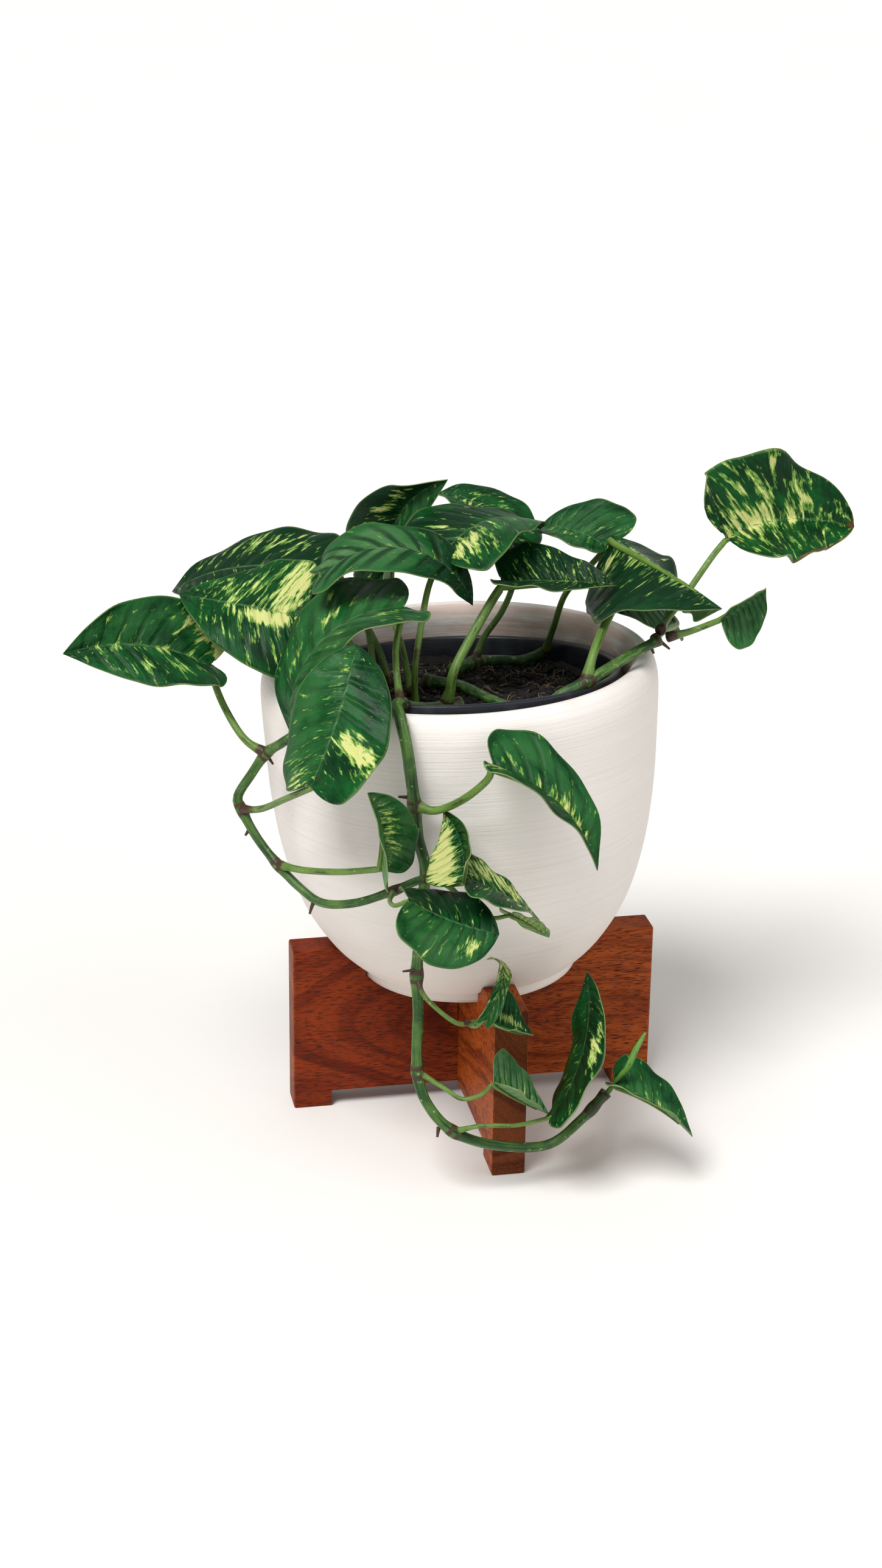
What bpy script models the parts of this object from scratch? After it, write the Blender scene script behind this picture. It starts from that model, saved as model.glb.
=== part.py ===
"""A trailing pothos in a whitewashed clay pot, on a stand of two crossed hardwood boards.

Metres, +Z up, front toward -Y. The stand, the pot, the nursery pot, the soil, the stems and
the leaves are measured in millimetres from the middle of the stand on the floor, and the
whole model is placed by MODEL_OFFSET, which brings the middle of its outline to the origin.
"""

import math
from collections import namedtuple

import bpy
from mathutils import Matrix, Vector

MM = 0.001

# Clearance left between pieces that rest on each other or grow from each other.
JOINT_GAP = 0.4 * MM

# Stand middle, measured from the middle of the whole plant's outline.
MODEL_OFFSET = Vector((2.8 * MM, 36.4 * MM, 0.0))

# Stand: two equal boards crossed at their middles by a half-lap.
STAND_YAW = math.radians(11.4)
BOARD_LENGTH = 212 * MM
BOARD_HEIGHT = 100 * MM
BOARD_THICKNESS = 19 * MM
FOOT_LENGTH = 22 * MM
ARCH_HEIGHT = 10 * MM
LAP_HEIGHT = 46 * MM
BOARD_EDGE_ROUND = 1.2 * MM
CRADLE_GAP = 1.5 * MM

# Pot: outline from the foot up, as (radius, height) above the pot's base.
POT_BASE_HEIGHT = 84.5 * MM
POT_CENTRE = Vector((-2.4 * MM, 0.0, POT_BASE_HEIGHT))
POT_LEAN = (math.radians(-0.6), math.radians(-2.6))
POT_OUTER = ((61, 0), (61, 6.5), (66, 7.5), (80, 22), (94, 46), (103.3, 77), (108.1, 110),
             (110, 144), (110.8, 166), (110, 175), (107.8, 181), (104.5, 184))
POT_INNER = ((100, 183.6), (97, 181), (95.4, 176), (95, 168), (94.4, 140), (90, 95),
             (80, 50), (62, 24), (45, 20))
ROUND_STEPS = 44

# Nursery pot inside: outline from the lip down, as (radius, height) below the lip.
LINER_CENTRE_HEIGHT = 173 * MM
LINER_TILT = math.radians(-3.6)
LINER_OUTER = ((90.5, 0), (90.5, -9), (87, -10.5), (84, -50), (76, -90), (66, -125), (56, -142))
LINER_INNER = ((88.5, 0.6), (86.5, 0), (85.3, -12), (82.3, -50), (74.3, -90), (64.3, -124))
LINER_FLOOR = -140
SOIL_DEPTH = 13
SOIL_FLOOR = -122

# Stems and leaves.
VINE_RADIUS = 3.4 * MM
STEM_RADIUS = 2.8 * MM
PETIOLE_RADIUS = 1.9 * MM
THIN_PETIOLE_RADIUS = 1.3 * MM
TUBE_SPACING = 13 * MM
BLADE_THICKNESS = 0.8 * MM
BLADE_STALK_GAP = 3.8 * MM

# Heart-shaped blade, as (step along the midrib, edge position along it, share of the half
# width), for the slimmest leaves and for the fullest ones.
SLIM_EDGE = ((0.0, -0.075, 0.26), (0.07, -0.117, 0.66), (0.15, -0.075, 0.88),
             (0.27, 0.035, 0.99), (0.41, 0.195, 0.98), (0.56, 0.38, 0.85),
             (0.72, 0.60, 0.61), (0.87, 0.82, 0.29), (1.0, 1.0, 0.0))
FULL_EDGE = ((0.0, -0.075, 0.26), (0.07, -0.117, 0.65), (0.15, -0.08, 0.86),
             (0.27, 0.035, 0.98), (0.41, 0.21, 1.0), (0.56, 0.415, 0.94),
             (0.72, 0.64, 0.78), (0.87, 0.86, 0.46), (1.0, 1.0, 0.0))
BLADE_COLUMNS = 3

# Stalk routes, in millimetres from the stand's middle on the floor.
VINES = {
    "front_vine": (VINE_RADIUS, ((-9, -34, 252), (-19, -40, 252), (-28, -56, 257),
                                 (-36, -74, 264), (-41, -86, 270), (-43, -97, 272),
                                 (-41, -107, 270), (-38, -114, 260), (-36, -117, 249),
                                 (-33, -116, 225), (-31, -115, 206), (-27, -114, 188),
                                 (-29, -115, 163), (-31, -118, 128), (-30, -122, 110),
                                 (-30, -126, 75), (-24, -130, 57), (-10, -132, 42),
                                 (12, -128, 32), (41, -120, 28), (60, -114, 41),
                                 (73, -111, 56))),
    "left_vine": (STEM_RADIUS, ((-62, -44, 254), (-72, -56, 266), (-82, -67, 271.5),
                                (-90, -78, 265), (-95, -85, 254), (-104, -80, 245),
                                (-113, -72, 236), (-121, -72, 224), (-128, -76, 213),
                                (-126, -78, 206), (-118, -84, 193), (-106, -92, 180),
                                (-93, -101, 170), (-81, -110, 166), (-63, -118, 170),
                                (-43, -122, 179), (-31, -125, 186), (-22, -128, 189))),
    "right_vine": (VINE_RADIUS, ((34, -53, 254), (44, -58, 266), (58, -52, 272),
                                 (82, -36, 282), (98, -24, 287))),
    "back_runner": (VINE_RADIUS, ((-14, 33, 248), (-1, 47, 249), (11, 54, 248),
                                  (26, 58, 247), (40, 64, 250))),
    "old_stem": (VINE_RADIUS, ((-29, 10, 250), (-10, 0, 251), (6, -24, 252), (18, -44, 254))),
}
Stalk = namedtuple("Stalk", "radius vine route")
PETIOLES = {
    "petiole_far_left": Stalk(STEM_RADIUS * 0.75, "left_vine", (
        (-113, -72, 236), (-125, -68, 243), (-137, -54, 257), (-144, -43, 276))),
    "petiole_big_droop": Stalk(PETIOLE_RADIUS, "front_vine", (
        (-41, -86, 270), (-43, -82, 283), (-44, -70, 297), (-40, -57, 314))),
    "petiole_cream_left": Stalk(PETIOLE_RADIUS, "", (
        (-60, -24, 252), (-70, -12, 278), (-84, -18, 295), (-96, -36, 302))),
    "petiole_back_left": Stalk(PETIOLE_RADIUS, "", (
        (-48, 0, 250), (-56, 6, 272), (-72, 10, 298), (-90, 10, 314))),
    "petiole_back_tall": Stalk(PETIOLE_RADIUS, "", (
        (-36, -14, 250), (-42, 8, 270), (-49, 32, 285), (-51, 54, 297))),
    "petiole_striped": Stalk(PETIOLE_RADIUS, "", (
        (-56, -14, 252), (-62, -2, 288), (-76, -4, 314), (-84, -16, 323), (-85, -35, 325))),
    "petiole_centre": Stalk(PETIOLE_RADIUS, "", (
        (-34, -40, 250), (-34, -46, 276), (-31, -38, 299), (-27, -28, 318), (-21, -20, 332))),
    "petiole_dark_fold": Stalk(STEM_RADIUS, "front_vine", (
        (-18, -39, 252), (-15, -41, 262), (-14, -41, 270), (-10, -36, 279), (-2, -27, 292),
        (7, -18, 306), (12, -13, 316))),
    "petiole_back_centre": Stalk(PETIOLE_RADIUS, "back_runner", (
        (-1, 47, 249), (4, 52, 262), (14, 57, 276), (20, 60, 290), (22, 59, 306), (21, 50, 318))),
    "petiole_right_back": Stalk(PETIOLE_RADIUS, "back_runner", (
        (40, 64, 250), (44, 50, 270), (49, 36, 293), (58, 30, 307), (71, 24, 326))),
    "petiole_saddle": Stalk(STEM_RADIUS, "right_vine", (
        (58, -52, 272), (60, -50, 288), (65, -45, 303), (69, -35, 315), (70, -22, 325),
        (70, -7, 331), (72, 8, 336))),
    "petiole_far_right": Stalk(PETIOLE_RADIUS, "", (
        (99, -20, 291), (104, -7, 294), (112, 3, 301), (128, 14, 322), (137, 20, 332))),
    "petiole_small_right": Stalk(PETIOLE_RADIUS, "", (
        (103, -22, 288), (116, -17, 290), (133, -10, 294))),
    "petiole_pot_front": Stalk(STEM_RADIUS, "front_vine", (
        (-33, -116, 225), (-22, -121, 224), (-8, -128, 233), (4, -134, 246), (7, -135, 255))),
    "petiole_front_heart": Stalk(PETIOLE_RADIUS, "left_vine", (
        (-126, -78, 206), (-114, -94, 213), (-99, -119, 229), (-86, -142, 245))),
    "petiole_front_small": Stalk(PETIOLE_RADIUS, "left_vine", (
        (-106, -92, 180), (-91, -106, 183), (-71, -124, 190), (-49, -136, 196))),
    "petiole_front_centre": Stalk(THIN_PETIOLE_RADIUS, "left_vine", (
        (-43, -122, 179), (-45, -140, 181), (-42, -153, 184), (-35, -158, 190))),
    "petiole_pale_under": Stalk(THIN_PETIOLE_RADIUS, "", (
        (-18, -124, 186), (-6, -124, 175), (7, -128, 167), (18, -131, 171))),
    "petiole_lower_wing": Stalk(THIN_PETIOLE_RADIUS, "front_vine", (
        (-31, -118, 128), (-26, -126, 119), (-10, -131, 107), (0, -130, 107), (6, -129, 110))),
    "petiole_lower_pale": Stalk(THIN_PETIOLE_RADIUS, "front_vine", (
        (-30, -126, 75), (-15, -132, 68), (-6, -134, 63), (4, -135, 66), (11, -135, 74))),
    "petiole_lower_tall": Stalk(THIN_PETIOLE_RADIUS, "front_vine", (
        (-10, -132, 42), (5, -136, 48), (24, -133, 47), (43, -125, 49))),
}

# Leaves: base in millimetres, then angles in degrees and sizes in millimetres. Heading and
# pitch aim the midrib, roll turns the blade about it; droop, sway and twist are how far the
# midrib bends down, bends sideways and turns by its tip; fold lifts each half and cup bends
# it down again by its edge; lobe is the depth of the two lobes behind the stalk and full how
# round the blade is, both in percent.
Leaf = namedtuple("Leaf", "name base heading pitch roll length width droop sway twist "
                          "fold_left fold_right cup_left cup_right lobe full")
LEAVES = (
    Leaf("far_left", (-144, -43, 276), 191, 30, -12, 83, 67, 37, 24, -59, 18, 22, 14, 12, 59, 28),
    Leaf("back_left", (-90, 10, 314), 165, 6, -28, 100, 70, 48, 2, -2, 5, 3, 15, 19, 61, 43),
    Leaf("cream_left", (-96, -36, 302), 175, 9, -45, 69, 75, 16, -6, 26, 2, 1, 21, 14, 16, 47),
    Leaf("back_tall", (-51, 54, 297), 42, 96, -16, 88, 56, 28, -69, 45, 39, 42, 30, 17, -15, 25),
    Leaf("striped_arch", (-85, -38, 326), -3, 47, 9, 102, 47, 121, 6, 4, 0, 2, 0, 0, 40, 21),
    Leaf("big_droop", (-40, -57, 314), 195, 8, -1, 107, 78, 111, 15, 1, 8, 7, -1, -3, 33, 24),
    Leaf("front_heart", (-86, -142, 245), 48, 52, -13, 78, 65, -9, 13, 55, -1, 2, 21, 20, 10, 107),
    Leaf("back_centre", (21, 50, 318), 147, 57, -4, 63, 51, 72, 2, -9, 16, 11, 7, 13, 60, 48),
    Leaf("centre_heart", (-21, -20, 332), 50, 34, -2, 88, 68, 70, -3, -5, 9, 4, -2, 15, 28, 67),
    Leaf("dark_fold", (12, -13, 316), -5, 5, -25, 63, 56, 9, 2, 24, 56, -7, 9, 7, 18, -4),
    Leaf("right_back", (71, 24, 326), 146, 21, -21, 49, 54, 41, 0, -12, 30, 18, -1, 9, 74, 49),
    Leaf("saddle", (72, 8, 336), -59, -3, 4, 97, 90, 14, 7, -69, -21, -99, 12, 27, 62, 45),
    Leaf("behind_saddle", (108, 50, 283), 224, 37, -41, 65, 57, 29, 30, -2, 6, 19, 2, -1, 65, 88),
    Leaf("far_right", (137, 20, 332), 52, 11, 38, 93, 82, -5, -51, 19, 29, 32, -9, 0, 26, 88),
    Leaf("small_right", (133, -10, 294), 37, 18, 76, 39, 40, 14, -1, 6, 58, 23, -7, -3, 58, 40),
    Leaf("pot_front_right", (7, -135, 255), -4, -14, 4, 83, 56, 63, -4, 23, 24, 27, 0, 14, 41, 0),
    Leaf("front_small", (-49, -136, 196), 154, 100, -13, 50, 44, 16, 35, -10, 56, 14, 16, 9, 38, 57),
    Leaf("cream_sail", (-8, -145, 194), 73, 44, -39, 42, 43, -44, 31, 11, 27, 38, 4, 6, 48, 5),
    Leaf("cream_right", (-5, -143, 196), 15, -25, 19, 53, 36, 27, 7, -14, 9, 12, 3, 13, 18, 36),
    Leaf("pale_under", (18, -131, 171), 29, -33, -11, 31, 20, 9, 4, -26, 3, 9, 5, 5, 55, 54),
    Leaf("front_centre", (-35, -158, 190), 0, -33, 4, 52, 59, -16, 13, 48, -7, -3, 24, 22, 2, 115),
    Leaf("lower_wing", (6, -129, 110), 3, -38, -6, 29, 40, -27, 1, -18, 66, 11, -3, 2, 54, 12),
    Leaf("lower_curl", (6, -147, 117), 31, 50, 74, 60, 9, 118, 0, -9, 11, 15, 5, 3, 29, 45),
    Leaf("lower_pale", (11, -135, 74), 24, -43, -3, 41, 42, -11, -7, -2, 55, 13, 3, -2, 61, 26),
    Leaf("lower_tall", (43, -125, 49), 35, 45, -37, 83, 45, -42, 15, 28, 5, -3, 17, 17, 15, 47),
    Leaf("lower_right", (77, -110, 61), -16, -13, 3, 53, 43, 37, 6, -6, 23, 31, 0, 4, 21, 29),
)


def collection_root():
    return bpy.context.scene.collection


def clear_scene():
    for item in list(bpy.data.objects):
        bpy.data.objects.remove(item, do_unlink=True)


def material(name, colour, roughness):
    found = bpy.data.materials.new(name)
    found.use_nodes = True
    shader = found.node_tree.nodes["Principled BSDF"]
    shader.inputs["Base Color"].default_value = (*colour, 1.0)
    shader.inputs["Roughness"].default_value = roughness
    return found


def add_object(name, data, look):
    item = bpy.data.objects.new(name, data)
    item.data.materials.append(look)
    item.location = MODEL_OFFSET
    collection_root().objects.link(item)
    return item


def mesh_from(name, points, faces, edges=()):
    mesh = bpy.data.meshes.new(name)
    mesh.from_pydata([tuple(p) for p in points], list(edges), list(faces))
    mesh.update()
    return mesh


def lathe(name, outline, look):
    """A closed round solid from an outline that starts and ends on the axis."""
    points = [(radius * MM, 0.0, height * MM) for radius, height in outline]
    edges = [(i, i + 1) for i in range(len(points) - 1)]
    item = add_object(name, mesh_from(name, points, (), edges), look)
    screw = item.modifiers.new("round", "SCREW")
    screw.steps = ROUND_STEPS
    screw.render_steps = ROUND_STEPS
    screw.use_merge_vertices = True
    screw.merge_threshold = 0.0001
    return item


def smooth(item, angle):
    """Smooth shading with creases above the angle."""
    for face in item.data.polygons:
        face.use_smooth = True
    if item.type == "MESH" and item.data.polygons:
        item.data.set_sharp_from_angle(angle=angle)


def bake(item):
    """The object's modifiers made into its own mesh."""
    graph = bpy.context.evaluated_depsgraph_get()
    baked = bpy.data.meshes.new_from_object(item.evaluated_get(graph))
    item.modifiers.clear()
    item.data = baked
    smooth(item, math.radians(40))


def place_in_pot(item, height=0.0, tilt=0.0):
    """Leans a piece with the pot, standing at a height on the pot's axis."""
    lean = Matrix.Rotation(POT_LEAN[0], 4, "X") @ Matrix.Rotation(POT_LEAN[1], 4, "Y")
    own = Matrix.Translation((0, 0, height)) @ Matrix.Rotation(tilt, 4, "X")
    item.matrix_world = Matrix.Translation(MODEL_OFFSET + POT_CENTRE) @ lean @ own


def pot_outline():
    return [(0, POT_INNER[-1][1])] + list(reversed(POT_INNER)) + list(reversed(POT_OUTER)) + [(0, 0)]


def make_pot(look):
    pot = lathe("pot", pot_outline(), look)
    bake(pot)
    place_in_pot(pot)
    return pot


def make_liner(look):
    outline = [(0, LINER_FLOOR)] + [(62, LINER_FLOOR)] + list(reversed(LINER_INNER))
    outline += list(LINER_OUTER) + [(0, LINER_OUTER[-1][1])]
    liner = lathe("nursery_pot", outline, look)
    bake(liner)
    place_in_pot(liner, LINER_CENTRE_HEIGHT, LINER_TILT)


def inner_radius(depth):
    """Radius inside the nursery pot at a height below its lip."""
    for upper, lower in zip(LINER_INNER, LINER_INNER[1:]):
        if lower[1] <= depth <= upper[1]:
            share = (depth - upper[1]) / (lower[1] - upper[1])
            return upper[0] + share * (lower[0] - upper[0])
    return LINER_INNER[-1][0]


def make_soil(look):
    gap = JOINT_GAP / MM
    heights = (-SOIL_DEPTH, -50, -90, SOIL_FLOOR)
    outline = [(0, -SOIL_DEPTH), (inner_radius(-SOIL_DEPTH) * 0.6, -SOIL_DEPTH)]
    outline += [(inner_radius(h) - 2 * gap, h) for h in heights]
    outline += [(0, SOIL_FLOOR)]
    soil = lathe("soil", outline, look)
    bake(soil)
    place_in_pot(soil, LINER_CENTRE_HEIGHT, LINER_TILT)


def box(name, low, high, look):
    points = [(x, y, z) for z in (low[2], high[2]) for y in (low[1], high[1]) for x in (low[0], high[0])]
    faces = ((0, 2, 3, 1), (4, 5, 7, 6), (0, 1, 5, 4), (2, 6, 7, 3), (0, 4, 6, 2), (1, 3, 7, 5))
    return add_object(name, mesh_from(name, points, faces), look)


def cutter(item):
    item.hide_render = True
    item.display_type = "WIRE"
    return item


def pot_cutter(look):
    """The pot's outside, grown by the cradle gap, that hollows the tops of the boards."""
    grow = CRADLE_GAP / MM
    outline = [(0, 200), (POT_OUTER[-1][0] + grow, 200)]
    outline += [(radius + grow, height) for radius, height in reversed(POT_OUTER[1:])]
    outline += [(POT_OUTER[0][0] + grow, -JOINT_GAP / MM), (0, -JOINT_GAP / MM)]
    tool = cutter(lathe("cradle_cutter", outline, look))
    place_in_pot(tool)
    return tool


def arch_cutter(name, yaw, look):
    """The low opening between a board's two feet."""
    half = BOARD_LENGTH / 2 - FOOT_LENGTH
    tool = cutter(box(name, (-half, -BOARD_THICKNESS, -ARCH_HEIGHT), (half, BOARD_THICKNESS, ARCH_HEIGHT), look))
    tool.rotation_euler.z = yaw
    return tool


def lap_cutter(name, yaw, low, high, look):
    """The slot a board gives up where the other passes through it."""
    half = BOARD_THICKNESS / 2 + JOINT_GAP
    tool = cutter(box(name, (-half, -BOARD_THICKNESS, low), (half, BOARD_THICKNESS, high), look))
    tool.rotation_euler.z = yaw
    return tool


def make_board(name, yaw, lap_low, lap_high, cradle, look):
    half = (BOARD_LENGTH / 2, BOARD_THICKNESS / 2)
    board = box(name, (-half[0], -half[1], 0), (half[0], half[1], BOARD_HEIGHT), look)
    board.rotation_euler.z = yaw
    tools = (cradle, arch_cutter(name + "_arch", yaw, look),
             lap_cutter(name + "_lap", yaw, lap_low, lap_high, look))
    bevel = board.modifiers.new("edges", "BEVEL")
    bevel.width = BOARD_EDGE_ROUND
    bevel.segments = 2
    bevel.limit_method = "ANGLE"
    for tool in tools:
        cut = board.modifiers.new("cut_" + tool.name, "BOOLEAN")
        cut.object = tool
        cut.operation = "DIFFERENCE"
        cut.solver = "EXACT"


def smooth_route(route):
    """Points along a rounded path through the route, about TUBE_SPACING apart."""
    knots = [Vector(p) * MM for p in route]
    ends = [knots[0] * 2 - knots[1]] + knots + [knots[-1] * 2 - knots[-2]]
    path = [knots[0]]
    for a, b, c, d in zip(ends, ends[1:], ends[2:], ends[3:]):
        count = max(1, round((c - b).length / TUBE_SPACING))
        for step in range(1, count + 1):
            t = step / count
            path.append(0.5 * (2 * b + (c - a) * t + (2 * a - 5 * b + 4 * c - d) * t * t
                               + (3 * b - 3 * c + d - a) * t * t * t))
    return path


def tube(name, radius, path, look):
    curve = bpy.data.curves.new(name, "CURVE")
    curve.dimensions = "3D"
    curve.bevel_depth = radius
    curve.bevel_resolution = 2
    curve.use_fill_caps = True
    spline = curve.splines.new("POLY")
    spline.points.add(len(path) - 1)
    for point, place in zip(spline.points, path):
        point.co = (*place, 1.0)
    spline.use_smooth = True
    return add_object(name, curve, look)


def nearest_direction(path, place):
    """Which way a path runs where it passes nearest a place."""
    spans = zip(path, path[1:])
    start, end = min(spans, key=lambda span: ((span[0] + span[1]) / 2 - place).length)
    return (end - start).normalized()


def clear_start(route, radius, vine_radius, vine_path):
    """Moves a stalk's first point out of its vine, until the stalk's end disc clears it."""
    first, second = Vector(route[0]) * MM, Vector(route[1]) * MM
    way = (second - first).normalized()
    along = abs(way.dot(nearest_direction(vine_path, first)))
    across = math.sqrt(max(1 - along * along, 0.09))
    reach = (vine_radius + JOINT_GAP * 3 + radius * along) / across
    return first + way * reach


def make_stems(look):
    for name, (radius, route) in VINES.items():
        tube(name, radius, smooth_route(route), look)
    for name, stalk in PETIOLES.items():
        route = [Vector(p) for p in stalk.route]
        if stalk.vine:
            vine_radius, vine_route = VINES[stalk.vine]
            path = smooth_route(vine_route)
            route[0] = clear_start(route, stalk.radius, vine_radius, path) / MM
        last = (route[-1] - route[-2]).normalized()
        route[-1] = route[-1] - last * ((BLADE_STALK_GAP + stalk.radius) / MM)
        tube(name, stalk.radius, smooth_route(route), look)


def blade_frame(leaf, along):
    """Midrib point and its forward, left and upper directions, at a share of the length."""
    heading, pitch, roll = (math.radians(a) for a in (leaf.heading, leaf.pitch, leaf.roll))
    pose = (Matrix.Rotation(heading, 3, "Z") @ Matrix.Rotation(-pitch, 3, "Y")
            @ Matrix.Rotation(roll, 3, "X"))
    steps = 12
    point = Vector((0, 0, 0))
    for step in range(steps):
        share = along * (step + 0.5) / steps
        point += blade_turn(leaf, share) @ Vector((1, 0, 0)) * (along * leaf.length / steps)
    turn = pose @ blade_turn(leaf, along)
    twist = Matrix.Rotation(math.radians(leaf.twist) * max(along, 0), 3, "X")
    return Vector(leaf.base) + pose @ point, turn @ twist


def blade_turn(leaf, share):
    """How far the midrib has bent down and sideways by a share of its length."""
    share = max(share, 0)
    down = Matrix.Rotation(math.radians(leaf.droop) * share, 3, "Y")
    side = Matrix.Rotation(math.radians(leaf.sway) * share, 3, "Z")
    return side @ down


def edge_rows(leaf):
    """The leaf's own outline, between the slimmest and the fullest one."""
    full = leaf.full / 100
    return [(slim[0], slim[1] + full * (wide[1] - slim[1]), slim[2] + full * (wide[2] - slim[2]))
            for slim, wide in zip(SLIM_EDGE, FULL_EDGE)]


def blade_point(leaf, edge_row, side):
    """A point of the blade, from its row and its place across, -1 at the right edge."""
    step, edge_along, edge_out = edge_row
    if edge_along < 0:
        edge_along *= leaf.lobe / 100
    share = abs(side)
    along = step + (edge_along - step) * share
    out = edge_out * share
    fold = math.radians(leaf.fold_left if side > 0 else leaf.fold_right)
    cup = math.radians(leaf.cup_left if side > 0 else leaf.cup_right) or 0.001
    half = leaf.width / 2
    across = half * (math.sin(fold) - math.sin(fold - cup * out)) / cup
    lift = half * (math.cos(fold - cup * out) - math.cos(fold)) / cup
    point, turn = blade_frame(leaf, along)
    return (point + turn @ Vector((0, math.copysign(across, side), lift))) * MM


def make_leaf(leaf, look):
    """A heart-shaped blade: rows from the stalk to the tip, closed to a thin solid."""
    sides = [c / BLADE_COLUMNS for c in range(BLADE_COLUMNS, -BLADE_COLUMNS - 1, -1)]
    outline = edge_rows(leaf)
    points = [blade_point(leaf, row, side) for row in outline[:-1] for side in sides]
    points.append(blade_point(leaf, outline[-1], 0))
    wide, rows, tip = len(sides), len(outline) - 1, len(points) - 1
    faces = []
    for row in range(rows - 1):
        for column in range(wide - 1):
            a = row * wide + column
            faces.append((a, a + wide, a + wide + 1, a + 1))
    last = (rows - 1) * wide
    faces += [(last + column, tip, last + column + 1) for column in range(wide - 1)]
    mesh = mesh_from("leaf_" + leaf.name, points, faces)
    item = add_object("leaf_" + leaf.name, mesh, look)
    for face in mesh.polygons:
        face.use_smooth = True
    shell = item.modifiers.new("thickness", "SOLIDIFY")
    shell.thickness = BLADE_THICKNESS
    shell.offset = 0
    return item


def main():
    clear_scene()
    wood = material("hardwood", (0.36, 0.15, 0.07), 0.5)
    clay = material("whitewashed_clay", (0.86, 0.82, 0.78), 0.7)
    black = material("black_plastic", (0.03, 0.035, 0.045), 0.35)
    earth = material("potting_soil", (0.04, 0.03, 0.025), 0.95)
    stem = material("green_stem", (0.16, 0.33, 0.08), 0.45)
    green = material("green_leaf", (0.04, 0.21, 0.06), 0.35)
    cradle = pot_cutter(wood)
    above = BOARD_HEIGHT * 2
    make_board("stand_board_long", STAND_YAW, LAP_HEIGHT, above, cradle, wood)
    make_board("stand_board_cross", STAND_YAW + math.pi / 2, -ARCH_HEIGHT * 2,
               LAP_HEIGHT + JOINT_GAP, cradle, wood)
    make_pot(clay)
    make_liner(black)
    make_soil(earth)
    make_stems(stem)
    for leaf in LEAVES:
        make_leaf(leaf, green)


main()
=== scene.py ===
"""The looks of a trailing pothos in a whitewashed clay pot, on a stand of crossed boards.

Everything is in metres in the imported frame. The tables of leaves, vines and stalks are in
millimetres from the stand's middle on the floor, and MODEL_OFFSET brings them into the frame.
"""

import math
import random
from collections import namedtuple

import bpy
from mathutils import Matrix, Vector, noise


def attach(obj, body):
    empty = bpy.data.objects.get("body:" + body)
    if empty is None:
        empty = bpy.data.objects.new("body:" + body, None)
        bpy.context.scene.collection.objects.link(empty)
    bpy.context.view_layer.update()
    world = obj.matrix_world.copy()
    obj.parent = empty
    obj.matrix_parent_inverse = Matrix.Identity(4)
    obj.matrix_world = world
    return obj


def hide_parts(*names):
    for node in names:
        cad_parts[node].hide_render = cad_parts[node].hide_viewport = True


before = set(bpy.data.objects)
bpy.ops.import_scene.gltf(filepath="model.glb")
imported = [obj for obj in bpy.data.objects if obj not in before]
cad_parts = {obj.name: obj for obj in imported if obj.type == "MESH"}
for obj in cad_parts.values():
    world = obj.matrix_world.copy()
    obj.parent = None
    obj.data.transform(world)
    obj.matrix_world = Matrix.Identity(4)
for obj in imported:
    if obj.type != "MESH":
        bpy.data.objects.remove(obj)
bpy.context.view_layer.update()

bl_info = {
    "name": "Trailing pothos looks",
    "version": (1, 0, 0),
    "blender": (4, 5, 0),
    "location": "3D view > Sidebar > Pothos",
    "description": "Builds the leaves, vines, soil and pot of a potted pothos on its packed frame",
    "category": "Object",
}

MM = 0.001
MODEL_OFFSET = Vector((2.8, 36.4, 0.0)) * MM

# Stand and pot, as packed. BOARD_END is half a board's length.
STAND_YAW = math.radians(11.4)
BOARD_END = 106 * MM
POT_CENTRE = Vector((-2.4, 0.0, 84.5)) * MM
POT_LEAN = (math.radians(-0.6), math.radians(-2.6))
POT_OUTLINE = ((0, 20), (20, 20), (45, 20), (62, 24), (80, 50), (90, 95), (94.4, 140), (95, 168),
               (95.4, 176), (97, 181), (100, 183.6), (104.5, 184), (107.8, 181), (110, 175),
               (110.8, 166), (110, 144), (108.1, 110), (103.3, 77), (94, 46), (80, 22), (66, 7.7),
               (61.4, 6.6), (61, 5), (61, 1), (60, 0), (40, 0), (20, 0), (0, 0))
# The soil lies as packed. The nursery pot is raised and tilted a little more than as packed,
# so that its lip shows above the front of the rim.
LINER_HEIGHT = 173 * MM
LINER_RISE = 2.5 * MM
SOIL_TILT = math.radians(-3.6)
LINER_TILT = math.radians(-5.6)
LINER_OUTLINE = ((0, -140), (30, -140), (62, -140), (64.3, -124), (74.3, -90), (82.3, -50),
                 (85.3, -12), (86.2, -2), (87, 0.2), (88.5, 0.6), (90, 0.2), (90.5, -1),
                 (90.5, -9), (87.2, -10.5), (84, -50), (76, -90), (66, -125), (56, -142),
                 (30, -142), (0, -142))
SOIL_OUTLINE = ((0, -13), (20, -13), (45, -13), (70, -13), (84.2, -13), (81.4, -50), (73.4, -90),
                (63.5, -122), (30, -122), (0, -122))
SOIL_RADIUS = SOIL_OUTLINE[4][0] * MM

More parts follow.
